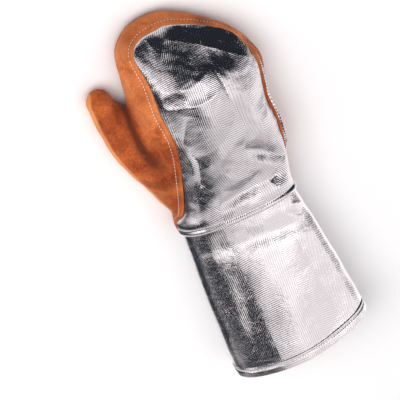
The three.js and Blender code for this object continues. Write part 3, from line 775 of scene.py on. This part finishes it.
WALE_PITCH = 1.8 * MM
WALE_BAND = 21 * MM
# Painted shade in the grooves of the weave: from and to which place along the mitten, and how much, it gets
# darker
GROOVE_SHADE_SPAN = (-40 * MM, -15 * MM, 0.35, 1.0)


# Herringbone twill: wales run at a slant that turns over from band to band. Returns their height.
def twill(nodes, links, pitch, band):
    uv = nodes.new("ShaderNodeUVMap")
    uv.uv_map = "weave"
    split = nodes.new("ShaderNodeSeparateXYZ")
    links.new(uv.outputs["UV"], split.inputs[0])
    u, v = split.outputs[0], split.outputs[1]
    zigzag = math_node(nodes, links, "PINGPONG", u, band)
    slant = math_node(nodes, links, "ADD", math_node(nodes, links, "MULTIPLY", zigzag, 1.15), v)
    warped = math_node(nodes, links, "ADD", slant, math_node(
        nodes, links, "MULTIPLY", noise_node(nodes, links, uv.outputs["UV"], 90, 2), 0.0012))
    turns = math_node(nodes, links, "MULTIPLY", warped, 2 * math.pi / (pitch * 1.4))
    wale = math_node(nodes, links, "SINE", turns)
    yarn = math_node(nodes, links, "SINE", math_node(nodes, links, "MULTIPLY", v, 2 * math.pi / (pitch * 0.55)))
    both = math_node(nodes, links, "MULTIPLY_ADD", yarn, 0.22, wale)
    return math_node(nodes, links, "MULTIPLY_ADD", both, 0.5, 0.5), uv.outputs["UV"]


def aluminised_cloth():
    material, nodes, links, shader = new_material("aluminised_cloth")
    height, uv = twill(nodes, links, WALE_PITCH, WALE_BAND)
    place_node = nodes.new("ShaderNodeTexCoord").outputs["Object"]
    broad = noise_node(nodes, links, place_node, 22, 3)
    fine = noise_node(nodes, links, place_node, 420, 3, 0.6)
    crinkle = noise_node(nodes, links, place_node, 130, 3, 0.6, 1.2)
    grain = noise_node(nodes, links, uv, 1500, 2, 0.6)
    foil = ramp_node(nodes, links, broad, [(0.3, (0.74, 0.715, 0.725)), (0.5, (0.82, 0.79, 0.80)),
                                           (0.7, (0.86, 0.845, 0.85))])
    # Painted shade in the grooves of the weave and painted highlight on its ridges, the shade darker on the hand
    # than on the cuff
    split = nodes.new("ShaderNodeSeparateXYZ")
    links.new(place_node, split.inputs[0])
    groove_shade_by_place = nodes.new("ShaderNodeMapRange")
    for name, value in zip(("From Min", "From Max", "To Min", "To Max"), GROOVE_SHADE_SPAN):
        groove_shade_by_place.inputs[name].default_value = value
    links.new(split.outputs[1], groove_shade_by_place.inputs["Value"])
    groove_shade_amount = math_node(nodes, links, "MULTIPLY_ADD", fine, 0.6, 0.5)
    groove_shade_amount = math_node(nodes, links, "MULTIPLY", groove_shade_amount, groove_shade_by_place.outputs[0])
    lines = ramp_node(nodes, links, height, [(0.0, (0.16, 0.17, 0.20)), (0.5, (0.88, 0.87, 0.88)),
                                             (1.0, (1.0, 1.0, 1.0))])
    tinted = mix_colour(nodes, links, groove_shade_amount, foil, lines, "MULTIPLY")
    links.new(tinted, shader.inputs["Base Color"])
    shader.inputs["Metallic"].default_value = 1.0
    roughness = math_node(nodes, links, "MULTIPLY_ADD", fine, 0.12, 0.10)
    links.new(roughness, shader.inputs["Roughness"])
    creased = bump_node(nodes, links, crinkle, 0.6, 0.0005)
    weave = bump_node(nodes, links, height, 1.0, 0.00008, creased)
    speckle = bump_node(nodes, links, grain, 0.3, 0.00004, weave)
    links.new(bump_node(nodes, links, fine, 0.5, 0.00009, speckle), shader.inputs["Normal"])
    return material


def cotton_backing():
    material, nodes, links, shader = new_material("cotton_backing")
    height, uv = twill(nodes, links, WALE_PITCH, WALE_BAND)
    # Painted shade in the grooves of the weave: the backing is darker where the weave lies low
    colour = ramp_node(nodes, links, height, [(0.0, (0.42, 0.37, 0.30)), (1.0, (0.66, 0.61, 0.52))])
    links.new(colour, shader.inputs["Base Color"])
    shader.inputs["Roughness"].default_value = 0.9
    links.new(bump_node(nodes, links, height, 0.6, 0.0004), shader.inputs["Normal"])
    return material


def suede():
    material, nodes, links, shader = new_material("suede_leather")
    coords = nodes.new("ShaderNodeTexCoord").outputs["Object"]
    patches = noise_node(nodes, links, coords, 18, 3, 0.55, 0.4)
    mottle = noise_node(nodes, links, coords, 75, 5, 0.62, 0.6)
    nap = noise_node(nodes, links, coords, 520, 3, 0.65)
    fibre = noise_node(nodes, links, coords, 1900, 2, 0.6)
    hide = ramp_node(nodes, links, patches, [(0.32, (0.27, 0.052, 0.015)), (0.5, (0.46, 0.104, 0.027)),
                                             (0.68, (0.62, 0.165, 0.048))])
    blot = ramp_node(nodes, links, mottle, [(0.36, (0.55, 0.44, 0.40)), (0.52, (1.0, 1.0, 1.0)),
                                            (0.72, (1.25, 1.3, 1.3))])
    tone = mix_colour(nodes, links, 0.8, hide, blot, "MULTIPLY")
    brushed = ramp_node(nodes, links, nap, [(0.3, (0.58, 0.44, 0.38)), (0.7, (1.28, 1.28, 1.25))])
    tone = mix_colour(nodes, links, 0.8, tone, brushed, "MULTIPLY")
    wear = nodes.new("ShaderNodeAttribute")
    wear.attribute_name = "wear"
    # The attribute holds random tone both ways, and painted light: above zero it lightens, below zero it darkens
    light = math_node(nodes, links, "MAXIMUM", wear.outputs["Fac"], 0.0)
    dark = math_node(nodes, links, "MAXIMUM", math_node(nodes, links, "MULTIPLY", wear.outputs["Fac"], -1.0), 0.0)
    # Lighter orange: painted highlight on rolled edges, and lighter suede towards the finger tips
    tone = mix_colour(nodes, links, light, tone, (0.80, 0.31, 0.11))
    # Dark maroon: painted shade in the crotch of the thumb, on the thumb's side and in a dent
    tone = mix_colour(nodes, links, dark, tone, (0.13, 0.028, 0.012))
    links.new(tone, shader.inputs["Base Color"])
    shader.inputs["Roughness"].default_value = 0.92
    shader.inputs["Specular IOR Level"].default_value = 0.2
    shader.inputs["Sheen Weight"].default_value = 0.35
    shader.inputs["Sheen Roughness"].default_value = 0.45
    shader.inputs["Sheen Tint"].default_value = (1.0, 0.62, 0.36, 1)
    soft = bump_node(nodes, links, mottle, 0.5, 0.0016)
    nappy = bump_node(nodes, links, nap, 0.55, 0.0006, soft)
    links.new(bump_node(nodes, links, fibre, 0.4, 0.0002, nappy), shader.inputs["Normal"])
    return material


def thread():
    material, nodes, links, shader = new_material("thread")
    coords = nodes.new("ShaderNodeTexCoord").outputs["Object"]
    twist = noise_node(nodes, links, coords, 2500, 2)
    colour = ramp_node(nodes, links, twist, [(0.3, (0.62, 0.58, 0.52)), (0.7, (0.88, 0.86, 0.82))])
    links.new(colour, shader.inputs["Base Color"])
    shader.inputs["Roughness"].default_value = 0.7
    links.new(bump_node(nodes, links, twist, 0.4, 0.0002), shader.inputs["Normal"])
    return material


CLOTH = aluminised_cloth()
BACKING = cotton_backing()
SUEDE = suede()
THREAD = thread()

TUCK_REACH = 3.5
TUCK_DEPTH = 1.2

# Fineness of the shown grids
BACK_FINE = (190, 176)
SIDE_FINE = 34
THUMB_SIDE_FINE = 230
TIP_SIDE_FINE = 360
PALM_FINE = (120, 110)
THUMB_FINE = (110, 76, 26)
CUFF_FINE = (290, 156)

FINE_ROWS = np.concatenate([np.linspace(0, 1, 14)[:-1], np.linspace(1, PANEL_ROWS, BACK_FINE[0])])
FINE_COLUMNS = np.linspace(0, 1, BACK_FINE[1])


# Where the edge of the cloth goes on under the leather
def tucked(edge, stops):
    strip = side_base(np.array([0, 0.1]), stops)
    along = unit(strip[1] - strip[0])
    return edge + along * TUCK_REACH - normals_of(strip, 1)[0] * TUCK_DEPTH


# The aluminised panel slips under the leather at its seam, and ends in a rolled hem at the wrist.
def hand_back():
    grid = back_base(FINE_ROWS, FINE_COLUMNS)
    across, along = arc(grid, 1), arc(grid, 0)
    seam = np.minimum(np.minimum(across, across[:, -1:] - across), along[-1:] - along)
    middle = across[:, [BACK_FINE[1] // 2]]
    weave = np.stack([across - middle, along], -1)
    free = smooth(seam, 2, 14) * smooth(along, 4, 16)
    lift = -0.7 * (1 - smooth(seam, 0, 3))
    lift += 0.5 * noise(grid, 7, 11) * np.exp(-seam / 6)
    lift += 0.7 * np.exp(-((along - 1.6) / 1.6) ** 2) - 0.5 * np.exp(-((along - 5.0) / 1.0) ** 2)
    lift -= crease_depth(BACK_CREASES, grid) * free
    lift += crumple(grid, 34, 3) * 0.026 * free
    lift += crumple(grid, 13, 40) * 0.014 * free
    lift += noise(grid, 26, 70) * 0.4 * free
    shown = moved(grid, lift, 1)
    left, right = (tucked(shown[:, end], stop(FINE_ROWS)) for end, stop in ((0, left_stop), (-1, right_stop)))
    far = tucked(shown[-1], tip_stop(FINE_COLUMNS))
    far = np.concatenate([left[-1:], far, right[-1:]])[None]
    wide = np.concatenate([left[:, None], shown, right[:, None]], axis=1)
    wide = np.concatenate([wide, far])
    weave = np.pad(weave, ((0, 1), (1, 1), (0, 0)), mode="edge")
    shell = Shell()
    shell.add(wide, CLOTH_WALL, 1, weave=weave, inner_slot=1)
    shell.build("back_cloth", "hand_back", [CLOTH, BACKING])
    return shown


# Painted shade of a dent below the crotch of the thumb: a dark patch
def dent_shade(grid):
    return 0.75 * np.exp(-((grid[..., 0] + 61) / 6) ** 2 - ((grid[..., 1] - 66) / 5) ** 2)


# Relief, tone and painted light of the side strip: plain is its grid before the thumb was joined to it
def side_detail(grid, plain):
    down = arc(plain, 0)
    foot = down[-1:] - down
    lift = 0.5 * (1 - smooth(down, 1, 8)) - 0.45 * np.exp(-((down - 5) / 0.8) ** 2)
    lift -= 1.2 * (1 - smooth(foot, 0, 3))
    lift += noise(grid, 16, 5) * 0.5 + noise(grid, 6, 6) * 0.18
    lift -= crease_depth(SIDE_CREASES, grid) * smooth(foot, 0, 6)
    # Random tone, and painted highlight along the strip's rolled edges by the back seam and by the palm seam
    wear = 0.15 * np.exp(-down / 1.2) + 0.25 * noise(grid, 22, 9) + 0.25 * np.exp(-foot / 2)
    # Lighter towards the tips of the fingers, less so on the side away from the thumb
    wear += 0.3 * smooth(grid[..., 1], 95, 135) * (1 - 0.6 * smooth(grid[..., 0], 10, 50))
    return moved(grid, lift, 1), wear - dent_shade(grid), down


THUMB_ROWS = np.linspace(0, len(THUMB_SECTIONS) - 1, THUMB_FINE[0])
THUMB_COLUMNS = np.linspace(0, 1, THUMB_FINE[1])
THUMB_ANGLES = np.linspace(0, math.pi / 2, THUMB_FINE[2] + 1)[1:]


def thumb_surface(up):
    grid = thumb_base(up, THUMB_ROWS, THUMB_COLUMNS, THUMB_ANGLES)
    root = grid[:1] + (16, 0, 0)
    return np.concatenate([root, grid])


def thumb_detail(grid, plain, outward, lead):
    across, along = arc(plain, 1), arc(plain, 0)
    seam = np.minimum(np.minimum(across, across[:, -1:] - across), along[-1:] - along)
    rolled = 0.55 * np.exp(-((seam - 2.4) / 1.5) ** 2) - 0.9 * np.exp(-(seam / 1.1) ** 2)
    lift = rolled * smooth(-lead, 0, 8)
    lift += noise(grid, 16, 5) * 0.5 + noise(grid, 6, 6) * 0.18
    lift -= crease_depth(SIDE_CREASES, grid) * smooth(seam, 0, 6)
    # Random tone, and painted highlight along the thumb's rolled outer seam
    wear = 0.85 * (1 - smooth(across, 5, 10)) + 0.25 * noise(grid, 22, 9)
    # Painted shade on the thumb's side towards the crotch
    wear -= 0.5 * smooth(across / across[:, -1:], 0.45, 0.95) * smooth(grid[..., 1], 60, 95)
    return moved(grid, lift, outward), wear - dent_shade(grid)


LEATHER_BLEND = 13
ROOT_ROWS = 6


# The wall thins out where one body runs into the other, so that its edge stays hidden
def thinned(lead):
    return LEATHER_WALL * (1 - 0.85 * smooth(lead, -7, -1))


# Painted shade: darker suede in the crotch of the thumb, where both bodies are about as near
def crotch_shade(lead, grid):
    return 1.1 * np.exp(-(lead / 7) ** 2) * smooth(grid[..., 1], 66, 92)


def leather_pieces():
    thumb_stops = np.linspace(0, FIRST_CORNER, THUMB_SIDE_FINE)
    tip_stops = np.linspace(FIRST_CORNER, LAST_ROW, TIP_SIDE_FINE)
    shares = np.linspace(0, 1, SIDE_FINE)
    side, tips = side_base(shares, thumb_stops), side_base(shares, tip_stops)
    palm = palm_base(np.linspace(0, PANEL_ROWS, PALM_FINE[0]), np.linspace(0, 1, PALM_FINE[1]))
    coarse_back = back_base(np.linspace(0, PANEL_ROWS, 60), np.linspace(0, 1, 50))
    upper, lower = thumb_surface(1), thumb_surface(-1)
    hand_tree = tree_of([(side, 1), (tips, 1), (palm, -1), (coarse_back, 1)])
    root_cap = np.stack([upper[0], lower[0]])
    thumb_tree = tree_of([(upper, 1), (lower, -1), (root_cap, -1)])

    merged, lead, sunk, gone = merge_into(side, hand_tree, thumb_tree, LEATHER_BLEND)
    side_made, wear, side_down = side_detail(merged, side)
    leather = Shell()
    leather.add(moved(side_made, -sunk, 1), thinned(lead), 1, removed=gone, wear=wear - crotch_shade(lead, side))
    merged, lead, sunk, gone = merge_into(upper, thumb_tree, hand_tree, LEATHER_BLEND)
    upper_made, wear = thumb_detail(merged, upper, 1, lead)
    gone[:ROOT_ROWS] = True
    leather.add(moved(upper_made, -sunk, 1), thinned(lead), 1, removed=gone, wear=wear - crotch_shade(lead, upper))
    leather.build("thumb_side_suede", "thumb_side", [SUEDE])

    tips_made, wear, tip_down = side_detail(tips, tips)
    strip = Shell()
    strip.add(tips_made, LEATHER_WALL, 1, wear=wear)
    strip.build("tip_side_suede", "tip_side", [SUEDE])

    merged, lead, sunk, gone = merge_into(lower, thumb_tree, hand_tree, LEATHER_BLEND)
    lower_made, wear = thumb_detail(merged, lower, -1, lead)
    gone[:ROOT_ROWS] = True
    front = Shell()
    front.add(moved(lower_made, -sunk, -1), thinned(lead), -1, removed=gone, wear=wear)
    front.build("thumb_front_suede", "thumb_front", [SUEDE])

    inner = Shell()
    inner.add(palm, LEATHER_WALL, -1, wear=0.2 * noise(palm, 30, 9))
    inner.build("palm_suede", "palm", [SUEDE])
    return (side_made, side_down), (tips_made, tip_down)


# The narrow strip caught in the palm seam, from the crotch of the thumb round to the wrist
def palm_welt():
    start = 4.2
    stops = np.linspace(start, LAST_ROW, 420)
    line = palm_seam(stops)
    gusset = side_base(np.array([0.94, 1.0]), stops)
    outward = unit(np.cross(np.gradient(line, axis=0), gusset[0] - gusset[1]))
    outward *= np.sign(dot(outward, line - np.array([0, line[:, 1].mean(), 20])))[:, None]
    outward = unit(outward * (1, 1, 0.3))
    reach = np.linspace(-LEATHER_WALL, WELT_REACH, 8)[:, None, None]
    grid = line[None] + outward[None] * reach
    grid = grid + (0, 0, WELT_WALL / 2)
    # Painted highlight on the welt's rolled outer edge
    wear = np.broadcast_to(0.35 * smooth(reach[..., 0], 1, WELT_REACH), grid.shape[:2])
    shell = Shell()
    flat = normals_of(grid, 1)
    shell.add(grid, WELT_WALL, 1 if flat[..., 2].mean() > 0 else -1, wear=wear)
    shell.build("welt_suede", "palm_welt", [SUEDE])


def cuff():
    around, down = CUFF_FINE
    angle = np.linspace(0, 2 * math.pi, around, endpoint=False)[None]
    stations = np.concatenate([
        np.linspace(LAP_LENGTH, HEM_FOLD + 2 - CUFF_LENGTH, down - 22)[:-1],
        np.linspace(HEM_FOLD + 2 - CUFF_LENGTH, -CUFF_LENGTH + 0.7, 23)])[:, None]
    share_down = (LAP_LENGTH - stations) / (LAP_LENGTH + CUFF_LENGTH)
    half_width, half_height, middle = tube_section(stations)
    floor = HAND_GROW * smooth(stations, -2 * LAP_LENGTH, 0)
    c, s = np.cos(angle), np.sin(angle)
    share = np.sign(c) * np.abs(c) ** (2 / CUFF_SQUARENESS)
    x = half_width * share
    hem = -(CUFF_LENGTH - HEM_BOW * share * share)
    y = (LAP_LENGTH - WRIST_SKEW * x) * (1 - share_down) + hem * share_down
    z = middle + half_height * np.sign(s) * np.abs(s) ** (2 / CUFF_SQUARENESS)
    grid = np.stack([x, y, z], -1)
    upper = smooth(-stations, 0, LAP_LENGTH) * np.maximum(s, 0)
    grid[..., 2] -= upper * fold_depth(CUFF_FOLDS, CUFF_UNITS, grid)
    grid[..., 2] = np.maximum(grid[..., 2], floor)
    along = arc(grid, 0)
    from_hem = along[-1:] - along
    top = smooth(s, -0.2, 0.3)
    lift = -crease_depth(CUFF_CREASES, grid) * top * smooth(-stations, 2, 12)
    free = smooth(-stations, 2, 20) * smooth(from_hem, 2, 14) * smooth(grid[..., 2], 1, 9)
    lift += crumple(grid, 40, 103) * 0.010 * free
    lift += crumple(grid, 15, 140) * 0.006 * free
    lift += noise(grid, 30, 170) * 0.3 * free
    lift += 0.7 * smooth(-from_hem, -9.6, -8.6) - 0.5 * np.exp(-((from_hem - 6.3) / 1.0) ** 2)
    shown = moved(grid, lift, 1, closed=True)
    shown[..., 2] = np.maximum(shown[..., 2], 0)
    weave = np.stack([np.broadcast_to(arc(grid[60:61], 1), along.shape), along], -1)
    shell = Shell()
    shell.add(shown, CLOTH_WALL, 1, closed=True, weave=weave, inner_slot=1)
    shell.build("cuff_cloth", "cuff", [CLOTH, BACKING])
    return shown, from_hem


def line_at(grid, distance, wanted, outward, closed=False):
    """The line on a grid that lies a wanted distance down its columns, with its normals."""
    normals = normals_of(grid, outward, closed)
    points, tops = [], []
    for column in range(grid.shape[1]):
        run = distance[:, column]
        order = np.argsort(run)
        points.append([np.interp(wanted, run[order], grid[order, column, k]) for k in range(3)])
        tops.append([np.interp(wanted, run[order], normals[order, column, k]) for k in range(3)])
    return np.array(points), np.array(tops)


def seam_stitches(sides):
    thumb_side, tip_side = [line_at(grid, down, 5.0, 1) for grid, down in sides]
    stitches("seam_stitches", THREAD, [thumb_side])
    stitches("tip_stitches", THREAD, [tip_side], length=1.9, radius=0.27, sunk=1.3)


def hem_stitches(grid, from_hem):
    line, normals = line_at(grid, from_hem, 6.3, 1, closed=True)
    line = np.vstack([line, line[:1]])
    normals = np.vstack([normals, normals[:1]])
    stitches("hem_stitches", THREAD, [(line, normals)], pitch=3.6, length=2.9)


def wrist_stitches(grid):
    along = arc(grid, 0)
    line, normals = line_at(grid, along, 6.5, 1)
    stitches("wrist_stitches", THREAD, [(line, normals)])


# Camera: the direction from the mitten to it, and the way up in the picture
VIEW = np.array([-0.1392, 0.4185, 0.8975])
UP_HINT = np.array([0.0641, 0.9082, -0.4136])
ROLL = math.radians(25.8)
FRAME_WIDTH = 376
CAMERA_DISTANCE = 16000
SENSOR = 36
AIM = np.array([-26.7, 20.0, 11.5])


def add_camera():
    side = np.cross(UP_HINT, VIEW)
    right = -math.sin(ROLL) * UP_HINT + math.cos(ROLL) * side
    up = math.cos(ROLL) * UP_HINT + math.sin(ROLL) * side
    data = bpy.data.cameras.new("camera")
    data.sensor_width = SENSOR
    data.lens = SENSOR * CAMERA_DISTANCE / FRAME_WIDTH
    data.clip_start = 0.1
    data.clip_end = 80
    camera = bpy.data.objects.new("camera", data)
    bpy.context.scene.collection.objects.link(camera)
    location = Vector(place(AIM + VIEW * CAMERA_DISTANCE))
    turn = Matrix(np.column_stack([right, up, VIEW]).tolist()).to_4x4()
    camera.matrix_world = Matrix.Translation(location) @ turn
    bpy.context.scene.camera = camera


# The studio as the foil sees it. Directions are laid flat round the zenith, in degrees: the first
# number of a place is towards +X, the second towards +Y. Each soft box or dark flag has its place,
# half sizes, turn, softness of its edges and brightness, and lies over those before it.
STUDIO_BASE = 1.05
STUDIO_PANELS = [
    ((95, -60), (28, 40), 0, 20, 1.4),
    ((24, -20), (22, 12), 0, 10, 0.95),
    ((5, -66), (60, 12), 0, 8, 0.8),
    ((18, -77), (24, 8), 0, 4, 0.2),
    ((-88, 28), (28, 30), 0, 12, 0.10),
    ((-50, 12), (26, 10), 10, 7, 1.9),
    ((4, 0), (34, 10), -3, 5, 1.7),
    ((42, 3), (14, 6), 0, 3, 2.3),
    ((20, 45), (62, 26), -7, 4, 0.03),
    ((88, 24), (50, 40), -39, 4, 0.03),
    ((-12, 28), (10, 12), 0, 3, 0.03),
    ((-42, 30), (9, 12), 20, 5, 2.2),
    ((-3, -12), (8, 14), 0, 3, 1.5),
    ((-66, -22), (56, 20), 6, 3, 0.03),
    ((-14, -25), (8, 7), 0, 3, 0.03),
    ((-125, -60), (28, 60), 0, 8, 0.04),
]
STUDIO_LIGHT = (1.0, 0.955, 0.965)
STUDIO_DARK = (0.72, 0.90, 1.25)


def add_studio():
    world = bpy.data.worlds.new("studio")
    world.use_nodes = True
    nodes, links = world.node_tree.nodes, world.node_tree.links
    split = nodes.new("ShaderNodeSeparateXYZ")
    links.new(nodes.new("ShaderNodeTexCoord").outputs["Generated"], split.inputs[0])
    east, north, up = split.outputs
    reach = math_node(nodes, links, "MULTIPLY", east, east)
    reach = math_node(nodes, links, "MULTIPLY_ADD", north, north, reach)
    reach = math_node(nodes, links, "SQRT", math_node(nodes, links, "MAXIMUM", reach, 1e-6))
    angle = math_node(nodes, links, "DEGREES", math_node(nodes, links, "ARCCOSINE", up))
    scale = math_node(nodes, links, "DIVIDE", angle, reach)
    flat = nodes.new("ShaderNodeCombineXYZ")
    for index, part in enumerate((east, north)):
        links.new(math_node(nodes, links, "MULTIPLY", part, scale), flat.inputs[index])
    level = None
    for (x, y), halves, turn, soft, value in STUDIO_PANELS:
        local = nodes.new("ShaderNodeMapping")
        local.vector_type = "TEXTURE"
        local.inputs["Location"].default_value = (x, y, 0)
        local.inputs["Rotation"].default_value = (0, 0, math.radians(turn))
        links.new(flat.outputs[0], local.inputs["Vector"])
        sides = nodes.new("ShaderNodeSeparateXYZ")
        links.new(local.outputs[0], sides.inputs[0])
        masks = []
        for index, half in enumerate(halves):
            edge = nodes.new("ShaderNodeMapRange")
            edge.interpolation_type = "SMOOTHSTEP"
            edge.inputs["From Min"].default_value = half + soft
            edge.inputs["From Max"].default_value = half - soft
            away = math_node(nodes, links, "ABSOLUTE", sides.outputs[index])
            links.new(away, edge.inputs["Value"])
            masks.append(edge.outputs[0])
        mask = math_node(nodes, links, "MULTIPLY", *masks)
        rest = math_node(nodes, links, "SUBTRACT", 1.0, mask)
        held = math_node(nodes, links, "MULTIPLY", rest, STUDIO_BASE if level is None else level)
        level = math_node(nodes, links, "MULTIPLY_ADD", mask, value, held)
    background = nodes["Background"]
    warmth = math_node(nodes, links, "MINIMUM", math_node(nodes, links, "MULTIPLY", level, 2.5), 1.0)
    tint = mix_colour(nodes, links, warmth, STUDIO_DARK, STUDIO_LIGHT)
    links.new(tint, background.inputs["Color"])
    links.new(level, background.inputs["Strength"])
    bpy.context.scene.world = world


def add_light(name, direction, distance, size, power):
    data = bpy.data.lights.new(name, "AREA")
    data.size = size
    data.energy = power
    light = bpy.data.objects.new(name, data)
    bpy.context.scene.collection.objects.link(light)
    away = Vector(direction).normalized()
    light.location = away * distance
    light.rotation_mode = "QUATERNION"
    light.rotation_quaternion = away.to_track_quat("Z", "Y")
    light.visible_glossy = False
    return light


def add_stage():
    floor_mesh = bpy.data.meshes.new("floor")
    half = 6.0
    floor_mesh.from_pydata([(-half, -half, 0), (half, -half, 0), (half, half, 0), (-half, half, 0)],
                           [], [(0, 1, 2, 3)])
    material, _, _, shader = new_material("pale_floor")
    shader.inputs["Base Color"].default_value = (0.96, 0.96, 0.96, 1)
    shader.inputs["Roughness"].default_value = 0.8
    shader.inputs["Specular IOR Level"].default_value = 0.1
    floor_mesh.materials.append(material)
    floor = bpy.data.objects.new("floor", floor_mesh)
    bpy.context.scene.collection.objects.link(floor)
    floor.location.z = -0.0004
    floor.visible_glossy = False
    # A plain surround that only the camera sees, so that each view has the same pale ground
    bpy.ops.mesh.primitive_uv_sphere_add(segments=48, ring_count=24, radius=30)
    surround = bpy.context.object
    surround.name = "surround"
    glow, nodes, links, shader = new_material("pale_surround")
    emission = nodes.new("ShaderNodeEmission")
    emission.inputs["Color"].default_value = (0.95, 0.95, 0.95, 1)
    links.new(emission.outputs[0], nodes["Material Output"].inputs["Surface"])
    nodes.remove(shader)
    surround.data.materials.append(glow)
    surround.visible_diffuse = surround.visible_glossy = False
    surround.visible_shadow = surround.visible_transmission = False


add_camera()
add_studio()
add_stage()
add_light("key", (-0.55, 0.25, 1.0), 1.6, 1.2, 15)
back_grid = hand_back()
leather_sides = leather_pieces()
palm_welt()
cuff_grid, cuff_from_hem = cuff()
seam_stitches(leather_sides)
hem_stitches(cuff_grid, cuff_from_hem)
wrist_stitches(back_grid)
bpy.context.scene.view_settings.view_transform = "Standard"
